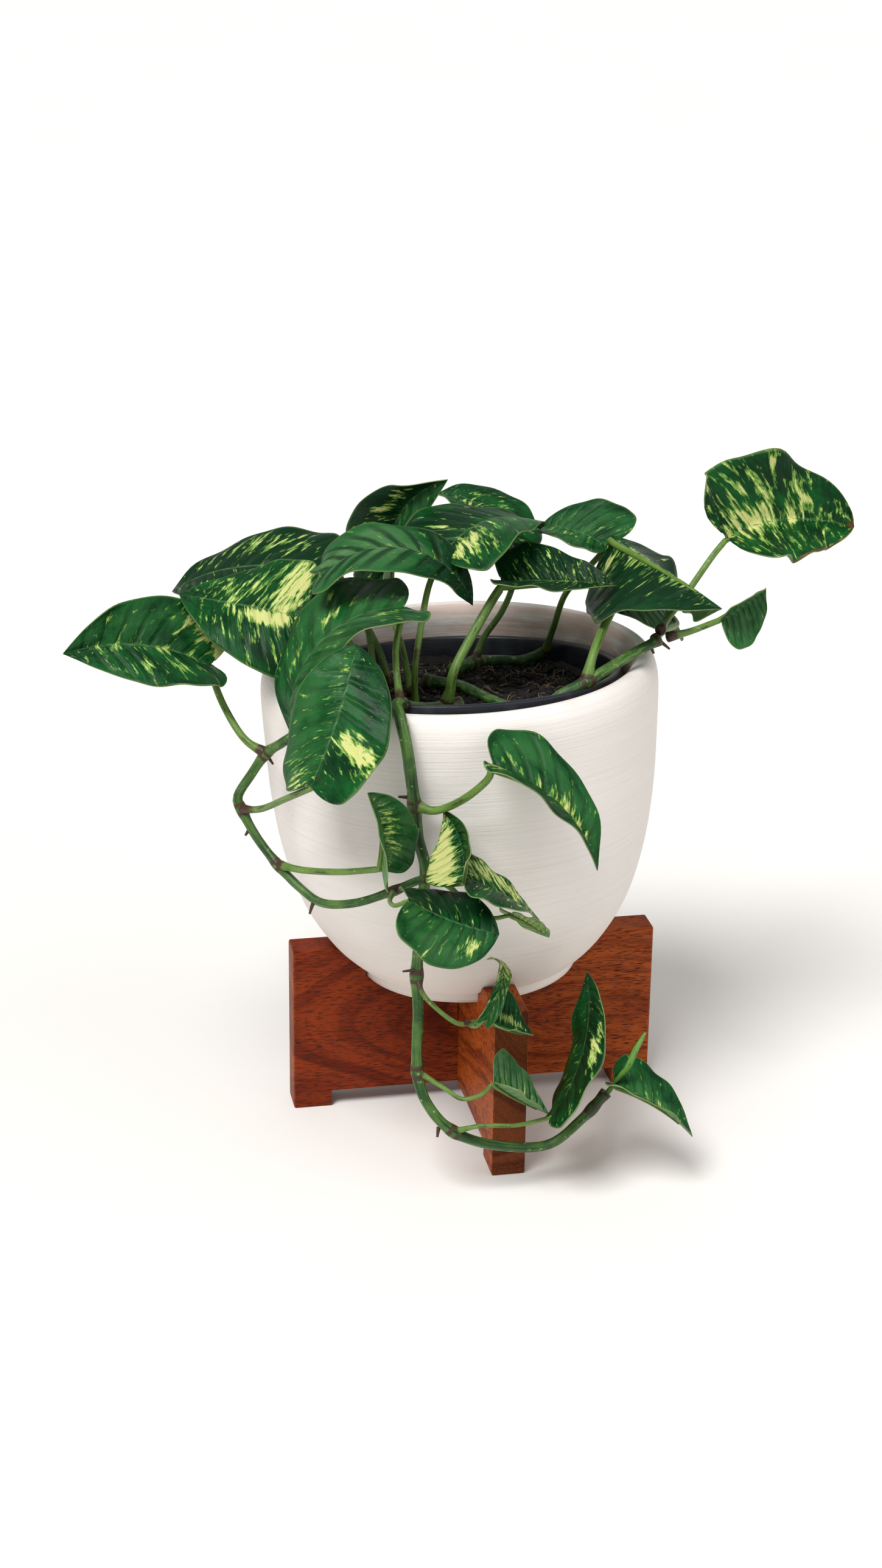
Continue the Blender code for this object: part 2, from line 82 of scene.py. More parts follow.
# Heart-shaped blade, as (step along the midrib, edge position along it, share of the half
# width), for the slimmest leaves and for the fullest ones.
SLIM_EDGE = ((0.0, -0.03, 0.12), (0.035, -0.105, 0.36), (0.08, -0.135, 0.60), (0.14, -0.10, 0.81),
             (0.21, -0.03, 0.93), (0.30, 0.065, 0.99), (0.41, 0.195, 0.98), (0.56, 0.38, 0.85),
             (0.72, 0.60, 0.61), (0.86, 0.80, 0.31), (0.94, 0.92, 0.12), (1.0, 1.0, 0.0))
FULL_EDGE = ((0.0, -0.03, 0.12), (0.035, -0.105, 0.36), (0.08, -0.135, 0.60), (0.14, -0.10, 0.80),
             (0.21, -0.03, 0.92), (0.30, 0.065, 0.985), (0.41, 0.21, 1.0), (0.56, 0.415, 0.94),
             (0.72, 0.64, 0.78), (0.86, 0.85, 0.48), (0.95, 0.955, 0.2), (1.0, 1.0, 0.0))

# Vines, as a radius and the points they run through.
VINES = {
    "front_vine": (3.4, ((-9, -34, 252), (-19, -40, 252), (-28, -56, 257), (-36, -74, 264),
                       (-41, -86, 270), (-43, -97, 272), (-41, -107, 270), (-38, -114, 260),
                       (-36, -117, 249), (-33, -116, 225), (-31, -115, 206), (-27, -114, 188),
                       (-29, -115, 163), (-31, -118, 128), (-30, -122, 110), (-30, -126, 75),
                       (-24, -130, 57), (-10, -132, 42), (12, -128, 32), (41, -120, 28),
                       (60, -114, 41), (73, -111, 56))),
    "left_vine": (2.8, ((-62, -44, 254), (-72, -56, 266), (-82, -67, 271.5), (-90, -78, 265),
                      (-95, -85, 254), (-104, -80, 245), (-113, -72, 236), (-121, -72, 224),
                      (-128, -76, 213), (-126, -78, 206), (-118, -84, 193), (-106, -92, 180),
                      (-93, -101, 170), (-81, -110, 166), (-63, -118, 170), (-43, -122, 179),
                      (-31, -125, 186), (-22, -128, 189))),
    "right_vine": (3.4, ((34, -53, 254), (44, -58, 266), (58, -52, 272), (82, -36, 282),
                       (98, -24, 287))),
    "back_runner": (3.4, ((-14, 33, 248), (-1, 47, 249), (11, 54, 248), (26, 58, 247),
                        (40, 64, 250))),
    "old_stem": (3.4, ((-29, 10, 250), (-10, 0, 251), (6, -24, 252), (18, -44, 254))),
}

# Leaf stalks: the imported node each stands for, if it has one, its leaf, its radius and its
# points up to the blade, where it runs on as the midrib.
Stalk = namedtuple("Stalk", "node leaf radius route")
STALKS = (
    Stalk("petiole_far_left", "far_left", 2.1,
          ((-113, -72, 236), (-125, -68, 243), (-137, -54, 257))),
    Stalk("petiole_big_droop", "big_droop", 1.9,
          ((-41, -86, 270), (-43, -82, 283), (-44, -70, 297))),
    Stalk("petiole_cream_left", "cream_left", 1.9,
          ((-60, -24, 252), (-70, -12, 278), (-84, -18, 295))),
    Stalk("petiole_back_left", "back_left", 1.9, ((-48, 0, 250), (-56, 6, 272), (-72, 10, 298))),
    Stalk("petiole_back_tall", "back_tall", 1.9, ((-36, -14, 250), (-42, 8, 270), (-49, 32, 285))),
    Stalk("petiole_striped", "striped_arch", 1.9,
          ((-56, -14, 252), (-62, -2, 288), (-76, -4, 314), (-84, -16, 323))),
    Stalk("petiole_centre", "centre_heart", 1.9,
          ((-34, -40, 250), (-34, -46, 276), (-31, -38, 299), (-27, -28, 318))),
    Stalk("petiole_dark_fold", "dark_fold", 2.8,
          ((-18, -39, 252), (-15, -41, 262), (-14, -41, 270), (-10, -36, 279), (-2, -27, 292),
           (7, -18, 306))),
    Stalk("petiole_back_centre", "back_centre", 1.9,
          ((-1, 47, 249), (4, 52, 262), (14, 57, 276), (20, 60, 290), (22, 59, 306))),
    Stalk("petiole_right_back", "right_back", 1.9,
          ((40, 64, 250), (44, 50, 270), (49, 36, 293), (58, 30, 307))),
    Stalk("petiole_saddle", "saddle", 2.5,
          ((58, -52, 272), (61, -46, 284), (67, -30, 294), (76, -8, 306), (82, 8, 320),
           (78, 14, 330))),
    Stalk("petiole_far_right", "far_right", 1.9,
          ((99, -20, 291), (104, -7, 294), (112, 3, 301), (128, 14, 322))),
    Stalk("petiole_small_right", "small_right", 1.9, ((103, -22, 288), (116, -17, 290))),
    Stalk("petiole_pot_front", "pot_front_right", 2.2,
          ((-33, -116, 225), (-22, -121, 224), (-8, -128, 233), (4, -134, 246))),
    Stalk("petiole_front_heart", "front_heart", 1.9,
          ((-126, -78, 206), (-114, -94, 213), (-99, -119, 229))),
    Stalk("petiole_front_small", "front_small", 1.9,
          ((-106, -92, 180), (-91, -106, 183), (-71, -124, 190))),
    Stalk("petiole_front_centre", "front_centre", 1.3,
          ((-43, -122, 179), (-45, -140, 181), (-42, -153, 184))),
    Stalk("petiole_pale_under", "pale_under", 1.3,
          ((-18, -124, 186), (-6, -124, 175), (7, -128, 167))),
    Stalk("petiole_lower_wing", "lower_wing", 1.3,
          ((-31, -118, 128), (-26, -126, 119), (-10, -131, 107), (0, -130, 107))),
    Stalk("petiole_lower_pale", "lower_pale", 1.3,
          ((-30, -126, 75), (-15, -132, 68), (-6, -134, 63), (4, -135, 66))),
    Stalk("petiole_lower_tall", "lower_tall", 1.3,
          ((-10, -132, 42), (5, -136, 48), (24, -133, 47))),
    Stalk("", "lower_curl", 1.2, ((-4, -131, 107), (1, -137, 108))),
    Stalk("", "cream_sail", 1.4, ((-24, -127, 188), (-16, -134, 188))),
    Stalk("", "cream_right", 1.4, ((-22, -128, 190), (-13, -133, 193))),
    Stalk("", "behind_saddle", 1.8, ((96, -22, 287), (104, -2, 286), (112, 25, 281))),
    Stalk("", "lower_right", 1.6, ((66, -113, 47), (73, -111, 55))),
)

# Leaves: base in millimetres, then angles in degrees and sizes in millimetres. Heading and
# pitch aim the midrib, roll turns the blade about it; droop, sway and twist are how far the
# midrib bends down, bends sideways and turns by its tip; fold lifts each half and cup bends
# it down again by its edge; lobe is the depth of the two lobes behind the stalk and full how
# round the blade is, both in percent.
Leaf = namedtuple("Leaf", "name base heading pitch roll length width droop sway twist "
                          "fold_left fold_right cup_left cup_right lobe full")
LEAVES = (
    Leaf("far_left", (-144, -43, 276), 191, 30, -12, 83, 67, 37, 24, -59, 18, 22, 14, 12, 59, 28),
    Leaf("back_left", (-90, 10, 314), 165, 6, -28, 100, 70, 48, 2, -2, 5, 3, 15, 19, 61, 43),
    Leaf("cream_left", (-96, -36, 302), 175, 9, -45, 69, 75, 16, -6, 26, 2, 1, 21, 14, 16, 47),
    Leaf("back_tall", (-51, 54, 297), 42, 96, -16, 88, 56, 28, -69, 45, 39, 42, 30, 17, -15, 25),
    Leaf("striped_arch", (-85, -38, 326), -3, 47, 9, 102, 47, 121, 6, 42, 0, 2, 0, 0, 40, 75),
    Leaf("big_droop", (-40, -57, 314), 195, 8, -1, 107, 78, 111, 15, 1, 8, 7, -1, -3, 33, 24),
    Leaf("front_heart", (-86, -142, 245), 48, 52, -13, 78, 65, -9, 13, 55, -1, 2, 21, 20, 10, 107),
    Leaf("back_centre", (21, 50, 318), 147, 57, -4, 63, 51, 72, 2, -9, 16, 11, 7, 13, 60, 48),
    Leaf("centre_heart", (-21, -20, 332), 50, 34, -2, 88, 68, 70, -3, -5, 9, 4, -2, 15, 28, 67),
    Leaf("dark_fold", (12, -13, 316), -5, 5, -25, 63, 56, 9, 2, 24, 56, -7, 9, 7, 18, -4),
    Leaf("right_back", (71, 24, 326), 146, 21, -21, 49, 54, 41, 0, -12, 30, 18, -1, 9, 74, 49),
    Leaf("saddle", (72, 8, 336), -59, -3, 4, 97, 90, 14, 7, -69, -21, -99, 12, 27, 62, 45),
    Leaf("behind_saddle", (108, 50, 283), 224, 37, -41, 65, 57, 29, 30, -2, 6, 19, 2, -1, 65, 88),
    Leaf("far_right", (137, 20, 332), 52, 11, 38, 93, 82, -5, -51, 19, 29, 32, -9, 0, 26, 88),
    Leaf("small_right", (133, -10, 294), 37, 18, 76, 39, 40, 14, -1, 6, 58, 23, -7, -3, 58, 40),
    Leaf("pot_front_right", (7, -135, 255), -4, -14, 4, 83, 56, 63, -4, 23, 24, 27, 0, 14, 41, 0),
    Leaf("front_small", (-49, -136, 196), 154, 100, -13, 50, 44, 16, 35, -10, 56, 14, 16, 9, 38, 57),
    Leaf("cream_sail", (-8, -145, 194), 73, 44, -39, 42, 43, -44, 31, 11, 27, 38, 4, 6, 48, 5),
    Leaf("cream_right", (-5, -143, 196), 15, -25, 19, 53, 36, 27, 7, -14, 9, 12, 3, 13, 18, 36),
    Leaf("pale_under", (18, -131, 171), 29, -33, -11, 31, 20, 9, 4, -26, 3, 9, 5, 5, 55, 54),
    Leaf("front_centre", (-35, -158, 190), 0, -33, 4, 52, 59, -16, 13, 48, -7, -3, 24, 22, 2, 115),
    Leaf("lower_wing", (6, -129, 110), 3, -38, -6, 29, 40, -27, 1, -18, 66, 11, -3, 2, 54, 12),
    Leaf("lower_curl", (6, -147, 117), 31, 50, 74, 60, 9, 118, 0, -9, 11, 15, 5, 3, 29, 45),
    Leaf("lower_pale", (11, -135, 74), 24, -43, -3, 41, 42, -11, -7, -2, 55, 13, 3, -2, 61, 26),
    Leaf("lower_tall", (43, -125, 49), 35, 45, -37, 83, 45, -42, 15, 28, 5, -3, 17, 17, 15, 47),
    Leaf("lower_right", (77, -110, 61), -16, -13, 3, 53, 43, 37, 6, -6, 23, 31, 0, 4, 21, 29),
)

# What each leaf wears, as (attribute, step along, place across from -1 to 1, reach along,
# reach across, amount). Cream is variegation and dry is brown. Pale is a painted grey sheen
# that lightens the green, and painted shade that darkens it where its amount is below 0.
MARKS = {
    "far_left": (("cream", .10, -.75, .26, .35, 1.5), ("cream", .45, .45, .35, .25, .45),
                 ("cream", .5, .05, .4, .12, .4), ("pale", .5, -.45, .4, .4, .4)),
    "back_left": (("cream", .5, -.55, .35, .3, .5), ("cream", .5, .3, .3, .2, .3),
                  ("pale", .5, 0, 1, 1.5, -.6)),
    "cream_left": (("cream", .20, -.55, .16, .6, 1.1), ("cream", .3, .15, .3, .12, 1.0),
                   ("cream", .65, -.4, .25, .4, .5), ("cream", .55, .6, .3, .3, .35)),
    "back_tall": (("cream", .55, .45, .25, .3, .55), ("cream", .12, -.35, .22, .4, .75),
                  ("pale", .5, -.5, .5, .4, .5), ("pale", .5, .5, .6, .4, -.6)),
    "striped_arch": (("pale", .3, 0, .5, 1.2, 1.2), ("pale", 1, 0, .35, 2, -1.4)),
    "big_droop": (("pale", .4, 0, .5, .8, .6), ("cream", .2, .4, .25, .12, .5),
                  ("cream", .5, -.3, .3, .1, .4)),
    "front_heart": (("pale", .5, .45, .5, .5, .5), ("cream", .12, .55, .14, .3, .65),
                    ("cream", .40, -.5, .07, .6, 1.0), ("cream", .75, .2, .15, .2, .35)),
    "back_centre": (("cream", .4, .35, .35, .35, .55), ("cream", .5, -.4, .3, .25, .4)),
    "centre_heart": (("cream", .2, -.35, .3, .35, .7), ("pale", .75, 0, .35, .8, .4),
                     ("cream", .1, .5, .2, .3, .35), ("pale", .4, .5, .4, .4, -.6)),
    "dark_fold": (("cream", .5, .2, .6, .8, .25), ("pale", .5, 0, 2, 3, -.9)),
    "right_back": (("pale", .5, 0, .5, .8, .4), ("cream", .4, .3, .35, .25, .45)),
    "saddle": (("cream", .5, 0, .6, .3, .42), ("cream", .15, -.5, .2, .4, .4),
               ("pale", .5, 0, 1, 1.5, -.4)),
    "behind_saddle": (("pale", .5, 0, .6, 1.2, .4),),
    "far_right": (("cream", .45, .1, .6, 1.2, .40), ("dry", 1.05, 0, .1, 1.2, 1.0),
                  ("dry", .65, -1.05, .4, .12, 1.0), ("cream", .15, .1, .25, .25, .4)),
    "small_right": (("pale", .5, 0, 1, 1.2, .9),),
    "pot_front_right": (("cream", .08, -.55, .15, .35, .65), ("cream", .6, .05, .35, .22, .6),
                        ("pale", .5, .5, .5, .4, .4)),
    "front_small": (("cream", .5, -.2, .5, .25, .6), ("pale", .5, 0, 1, 1.2, .9)),
    "cream_sail": (("cream", .5, .6, .6, .45, 1.3),),
    "cream_right": (("cream", .5, .5, .6, .5, .85), ("cream", .7, -.4, .3, .2, .45)),
    "pale_under": (("pale", .5, 0, 2, 3, 1.2), ("cream", .4, 0, .8, 2, .8)),
    "front_centre": (("pale", .5, -.5, .5, .5, .6), ("cream", .74, -.5, .14, .25, .75),
                     ("pale", .5, .5, .6, .5, -.5)),
    "lower_wing": (("cream", .5, .25, .4, .14, .8), ("pale", .5, -.5, .6, .4, .5)),
    "lower_curl": (("cream", .9, 0, .5, 2, 1.0), ("pale", .3, 0, .6, 2, .6)),
    "lower_pale": (("pale", .5, 0, 2, 3, 1.3), ("cream", .5, .3, .3, .3, .3)),
    "lower_tall": (("pale", .5, -.5, .6, .5, -.4), ("cream", .6, -.6, .16, .25, .8)),
    "lower_right": (("pale", .5, -.2, .4, .5, .9), ("cream", .45, -.25, .25, .3, .55)),
}
# Leaves whose side veins stand out more, with darker painted shade in their grooves, and whose
# edges ripple more, than the rest.
RIB_STRENGTH = {"striped_arch": 2.4, "big_droop": 1.4, "centre_heart": 1.2}
EDGE_WAVES = {"far_right": 2.6, "back_tall": 1.6, "saddle": 1.6}

# Short brown root stubs, as (vine, where it grows, which way it points, length).
ROOTS = (("front_vine", (-35, -116, 229), (-1.0, -0.3, 0.3), 8),
         ("front_vine", (-28, -119, 132), (-1.0, -0.4, 0.2), 13),
         ("front_vine", (-18, -131, 44), (-0.3, -0.4, -1.0), 5),
         ("left_vine", (-86, -108, 166), (-0.5, -0.1, -1.0), 7),
         ("left_vine", (-121, -82, 197), (-0.8, -0.2, -0.8), 5),
         ("left_vine", (-113, -72, 236), (0.6, -0.2, -1.0), 6),
         ("right_vine", (98, -24, 287), (0.9, 0.0, -0.7), 7),
         ("right_vine", (93, -28, 286), (0.4, -0.3, -1.0), 5))
# The rolled new leaf's points, from its base to its tip.
NEW_LEAF = ((77, -110, 61), (84, -112, 72), (88, -111, 82), (93, -110, 92))

# Blades: the least lobe depth as a share of the full one, the midrib's depth in millimetres, the
# steps and the share of the blade that the stalk runs on for, and the steps that a bend takes.
LEAST_LOBE = 0.5
MIDRIB_DEPTH = 0.75
MIDRIB_STEPS = 15
MIDRIB_END = 0.86
BEND_STEPS = 12

# How near to a vine a stalk has to start to make a node on it.
NODE_REACH = 7 * MM

CRUMB_SIZES = (0.7, 1.0, 1.4, 2.0, 2.8)
FIBRE_POINTS = 7

CAMERA_PLACE = Vector((-0.0193, -1.3911, 0.7314))
CAMERA_PITCH = math.radians(21.197)
CAMERA_ROLL = math.radians(-0.769)
CAMERA_LENS = 60.55
SENSOR_WIDTH = 36.0


def colour_setting(name, description, default):
    return bpy.props.FloatVectorProperty(
        name=name, description=description, default=default, subtype="COLOR")


def length_setting(name, description, default):
    """A length whose default is given in millimetres."""
    return bpy.props.FloatProperty(
        name=name, description=description, default=default * MM, unit="LENGTH")


def count_setting(name, description, default, least=0):
    return bpy.props.IntProperty(name=name, description=description, default=default, min=least)


def light_setting(name, description, default):
    return bpy.props.FloatProperty(name=name, description=description, default=default)


class LeafSettings(bpy.types.PropertyGroup):
    rows: count_setting("Rows", "Steps along each blade", 44, 12)
    columns: count_setting("Columns", "Steps across each blade", 26, 8)
    thickness: length_setting("Thickness", "How thick a blade is", 0.55)
    rib_relief: length_setting("Rib relief", "How far the blade swells between side veins", 0.42)
    edge_wave: length_setting("Edge wave", "How far the edge ripples", 1.3)
    veins: count_setting("Side veins", "Side veins in each half", 9, 3)
    deep_green: colour_setting("Deep green", "Darkest green", (0.0015, 0.023, 0.006))
    mid_green: colour_setting("Mid green", "Usual green", (0.0045, 0.082, 0.014))
    pale_green: colour_setting("Pale green", "Green of pale patches", (0.085, 0.19, 0.075))
    cream: colour_setting("Cream", "Variegation", (0.53, 0.55, 0.20))
    dry: colour_setting("Dry brown", "Dried rims", (0.11, 0.045, 0.015))


class StemSettings(bpy.types.PropertyGroup):
    sides: count_setting("Sides", "Sides of a stem", 14, 8)
    ring_gap: length_setting("Ring gap", "Distance between a stem's rings", 2.2)
    green: colour_setting("Stem green", "Young stems", (0.095, 0.175, 0.028))
    dark: colour_setting("Vine green", "Older stems", (0.012, 0.055, 0.010))
    bark: colour_setting("Root brown", "Nodes, sheaths and roots", (0.050, 0.024, 0.012))


class PotSettings(bpy.types.PropertyGroup):
    wobble: length_setting("Wobble", "How far the hand-thrown wall strays", 0.35)
    whitewash: colour_setting("Whitewash", "Brushed paint", (0.77, 0.725, 0.69))
    clay: colour_setting("Clay", "Fired clay under the paint", (0.50, 0.27, 0.19))
    plastic: colour_setting("Nursery pot", "Thin plastic pot", (0.010, 0.013, 0.020))


class SoilSettings(bpy.types.PropertyGroup):
    crumbs: count_setting("Crumbs", "Loose lumps on the soil", 2200)
    fibres: count_setting("Fibres", "Coir fibres on the soil", 220)
    roughness: length_setting("Unevenness", "Height of the soil's lumps", 3.6)
    dark: colour_setting("Soil", "Damp soil", (0.004, 0.0035, 0.0035))
    fibre: colour_setting("Fibre", "Coir fibres", (0.30, 0.21, 0.13))


class WoodSettings(bpy.types.PropertyGroup):
    light: colour_setting("Light grain", "Lighter bands", (0.37, 0.074, 0.012))
    dark: colour_setting("Dark grain", "Darker bands", (0.145, 0.020, 0.004))
    pore: colour_setting("Pores", "Short dark pores", (0.035, 0.008, 0.003))


class StageSettings(bpy.types.PropertyGroup):
    floor: colour_setting("Floor", "Pale floor", (0.80, 0.78, 0.75))
    key: light_setting("Key light", "Soft daylight from the front left", 3.2)
    fill: light_setting("Fill light", "Weaker light from the right", 0.7)
    sky: light_setting("Room light", "Even light all round", 0.42)


def mm_point(point):
    """A point of the tables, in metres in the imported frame."""
    return Vector(point) * MM + MODEL_OFFSET


def deselect():
    for item in bpy.context.selected_objects:
        item.select_set(False)


def select_only(*items):
    deselect()
    for item in items:
        item.select_set(True)
    bpy.context.view_layer.objects.active = items[0]


def edit_all(operator, **settings):
    """Runs an operator in edit mode on all of the active piece."""
    bpy.ops.object.mode_set(mode="EDIT")
    bpy.ops.mesh.select_all(action="SELECT")
    operator(**settings)
    bpy.ops.object.mode_set(mode="OBJECT")


def shaped_grid(name, rows, columns, place, attributes=None):
    """A grid moved point by point: place takes its shares along and across, and attributes
    gives values by name for the same shares. Points that meet are merged."""
    deselect()
    bpy.ops.mesh.primitive_grid_add(x_subdivisions=rows, y_subdivisions=columns, size=1)
    item = bpy.context.object
    item.name = item.data.name = name
    shares = [(vertex.co.x + 0.5, vertex.co.y + 0.5) for vertex in item.data.vertices]
    if attributes:
        values = [attributes(*share) for share in shares]
        for key in values[0]:
            layer = item.data.attributes.new(key, "FLOAT", "POINT")
            layer.data.foreach_set("value", [value[key] for value in values])
    for vertex, share in zip(item.data.vertices, shares):
        vertex.co = place(*share)
    edit_all(bpy.ops.mesh.remove_doubles, threshold=0.01 * MM)
    bpy.ops.object.shade_smooth()
    return item


def face_outward(item):
    select_only(item)
    edit_all(bpy.ops.mesh.normals_make_consistent, inside=False)


def apply_modifiers(item):
    select_only(item)
    for modifier in list(item.modifiers):
        bpy.ops.object.modifier_apply(modifier=modifier.name)


def join(items, name):
    """One object made of several."""
    select_only(*items)
    bpy.ops.object.join()
    items[0].name = items[0].data.name = name
    return items[0]


def keep(item, looks, slot, *nodes):
    """Gives a finished piece its looks and its place in the frame, and hides the nodes it stands for."""
    for look in looks:
        item.data.materials.append(look)
    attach(item, "root")
    if nodes:
        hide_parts(*nodes)
    return item


def smooth_value(table, at):
    """Values of a table of (x, values...) at x, on a smooth curve through its rows."""
    last = len(table) - 1
    index = max(i for i in range(last) if table[i][0] <= at or i == 0)
    low, high = table[index], table[index + 1]
    span = high[0] - low[0]
    t = (at - low[0]) / span

    def slope(row, column):
        before, after = table[max(row - 1, 0)], table[min(row + 1, last)]
        return (after[column] - before[column]) / (after[0] - before[0])

    found = []
    for column in range(1, len(low)):
        a, b = low[column], high[column]
        found.append(a * (1 + 2 * t) * (1 - t) ** 2 + b * t * t * (3 - 2 * t)
                     + slope(index, column) * span * t * (1 - t) ** 2
                     - slope(index + 1, column) * span * t * t * (1 - t))
    return found


def smooth_route(points, gap):
    """Points along a rounded path through the given ones, about a gap apart."""
    ends = [points[0] * 2 - points[1]] + list(points) + [points[-1] * 2 - points[-2]]
    path = [points[0]]
    for a, b, c, d in zip(ends, ends[1:], ends[2:], ends[3:]):
        count = max(1, round((c - b).length / gap))
        for step in range(1, count + 1):
            t = step / count
            path.append(0.5 * (2 * b + (c - a) * t + (2 * a - 5 * b + 4 * c - d) * t * t
                               + (3 * b - 3 * c + d - a) * t * t * t))
    return path


def tube(name, path, radii, sides, values, ridge=0.0):
    """A closed tube along a path: a radius and attribute values at each of its points."""
    tangents = [(path[min(i + 1, len(path) - 1)] - path[max(i - 1, 0)]).normalized()
                for i in range(len(path))]
    across = tangents[0].orthogonal().normalized()
    frames = []
    for tangent in tangents:
        across = (across - tangent * across.dot(tangent)).normalized()
        frames.append((across, tangent.cross(across)))
    last = len(path) - 1

    def ring(u):
        return round(u * (last + 2)) - 1

    def place(u, v):
        index = min(max(ring(u), 0), last)
        if ring(u) in (-1, last + 1):
            return path[index]
        angle = 2 * math.pi * v
        radius = radii[index] * (1 + ridge * math.cos(5 * angle))
        across, up = frames[index]
        return path[index] + (across * math.cos(angle) + up * math.sin(angle)) * radius

    item = shaped_grid(name, last + 2, sides, place,
                       lambda u, v: values[min(max(ring(u), 0), last)])
    face_outward(item)
    return item


def pot_matrix(height=0.0, tilt=0.0):
    """Places a round piece at a height on the pot's leaning axis."""
    lean = Matrix.Rotation(POT_LEAN[0], 4, "X") @ Matrix.Rotation(POT_LEAN[1], 4, "Y")
    own = Matrix.Translation((0, 0, height)) @ Matrix.Rotation(tilt, 4, "X")
    return Matrix.Translation(MODEL_OFFSET + POT_CENTRE) @ lean @ own


def lathe(name, outline, fineness, turns, matrix, stray):
    """A round closed piece from an outline in millimetres, straying from round by stray(point)."""
    table = [(i, *point) for i, point in enumerate(outline)]

    def place(u, v):
        radius, height = smooth_value(table, u * (len(outline) - 1))
        angle = 2 * math.pi * v
        radius = max(radius, 0)
        point = Vector((radius * math.cos(angle), radius * math.sin(angle), height)) * MM
        return matrix @ (point + stray(point))

    item = shaped_grid(name, (len(outline) - 1) * fineness, turns, place)
    face_outward(item)
    return item


def blade_turn(leaf, share):
    """How far the midrib has bent down and sideways by a share of its length."""
    share = max(share, 0)
    down = Matrix.Rotation(math.radians(leaf.droop) * share, 3, "Y")
    side = Matrix.Rotation(math.radians(leaf.sway) * share, 3, "Z")
    return side @ down


def blade_frame(leaf, along):
    """Midrib point in millimetres, and its turn, at a share of the blade's length."""
    heading, pitch, roll = (math.radians(a) for a in (leaf.heading, leaf.pitch, leaf.roll))
    pose = (Matrix.Rotation(heading, 3, "Z") @ Matrix.Rotation(-pitch, 3, "Y")
            @ Matrix.Rotation(roll, 3, "X"))
    point = Vector((0, 0, 0))
    for step in range(BEND_STEPS):
        share = along * (step + 0.5) / BEND_STEPS
        point += blade_turn(leaf, share) @ Vector((1, 0, 0)) * (along * leaf.length / BEND_STEPS)
    twist = Matrix.Rotation(math.radians(leaf.twist) * max(along, 0), 3, "X")
    return Vector(leaf.base) + pose @ point, pose @ blade_turn(leaf, along) @ twist


def leaf_size(leaf):
    """How far a leaf's relief is scaled for its length."""
    return min(leaf.length / 80, 1.2)


def blade_point(leaf, edge, u, v, settings):
    """A point of the upper side, from its shares along and across the blade."""
    side = 2 * v - 1
    edge_along, edge_out = smooth_value(edge, u)
    if edge_along < 0:
        edge_along *= max(leaf.lobe / 100, LEAST_LOBE)
    share = abs(side)
    along = u + (edge_along - u) * share
    out = max(edge_out, 0) * share
    fold = math.radians(leaf.fold_left if side > 0 else leaf.fold_right)
    cup = math.radians(leaf.cup_left if side > 0 else leaf.cup_right) or 0.001
    half = leaf.width / 2
    across = half * (math.sin(fold) - math.sin(fold - cup * out)) / cup
    lift = half * (math.cos(fold - cup * out) - math.cos(fold)) / cup
    size = leaf_size(leaf)
    veins = settings.veins * u + (0.5 if side > 0 else 0.0)
    swell = abs(math.sin(math.pi * veins)) * math.sin(math.pi * min(share * 1.08, 1)) * (1 - u)
    lift += settings.rib_relief / MM * swell * RIB_STRENGTH.get(leaf.name, 1.0) * size
    lift -= MIDRIB_DEPTH * size * math.exp(-(side / 0.07) ** 2) * (1 - u)
    ripple = math.sin(u * 16 + leaf.length)
    ripple += 0.5 * math.sin(u * 29 + leaf.width + (3 if side > 0 else 0))
    ripple *= EDGE_WAVES.get(leaf.name, 1.0)
    lift += settings.edge_wave / MM * ripple * size * share ** 4 * min(edge_out * 2, 1)
    point, turn = blade_frame(leaf, along)
    return mm_point(point + turn @ Vector((0, math.copysign(across, side), lift)))


def blade_marks(leaf, u, v):
    """Cream, pale and dry amounts at a place on a blade; pale is painted sheen, and painted shade below 0.
    """
    side = 2 * v - 1
    found = {"cream": 0.0, "pale": 0.0, "dry": 0.0}
    for kind, step, across, reach_along, reach_across, amount in MARKS[leaf.name]:
        far = ((u - step) / reach_along) ** 2 + ((side - across) / reach_across) ** 2
        found[kind] += amount * math.exp(-far)
    found["seed"] = (LEAVES.index(leaf) + 1) * 0.37
    found["ribs"] = RIB_STRENGTH.get(leaf.name, 1.0)
    return found


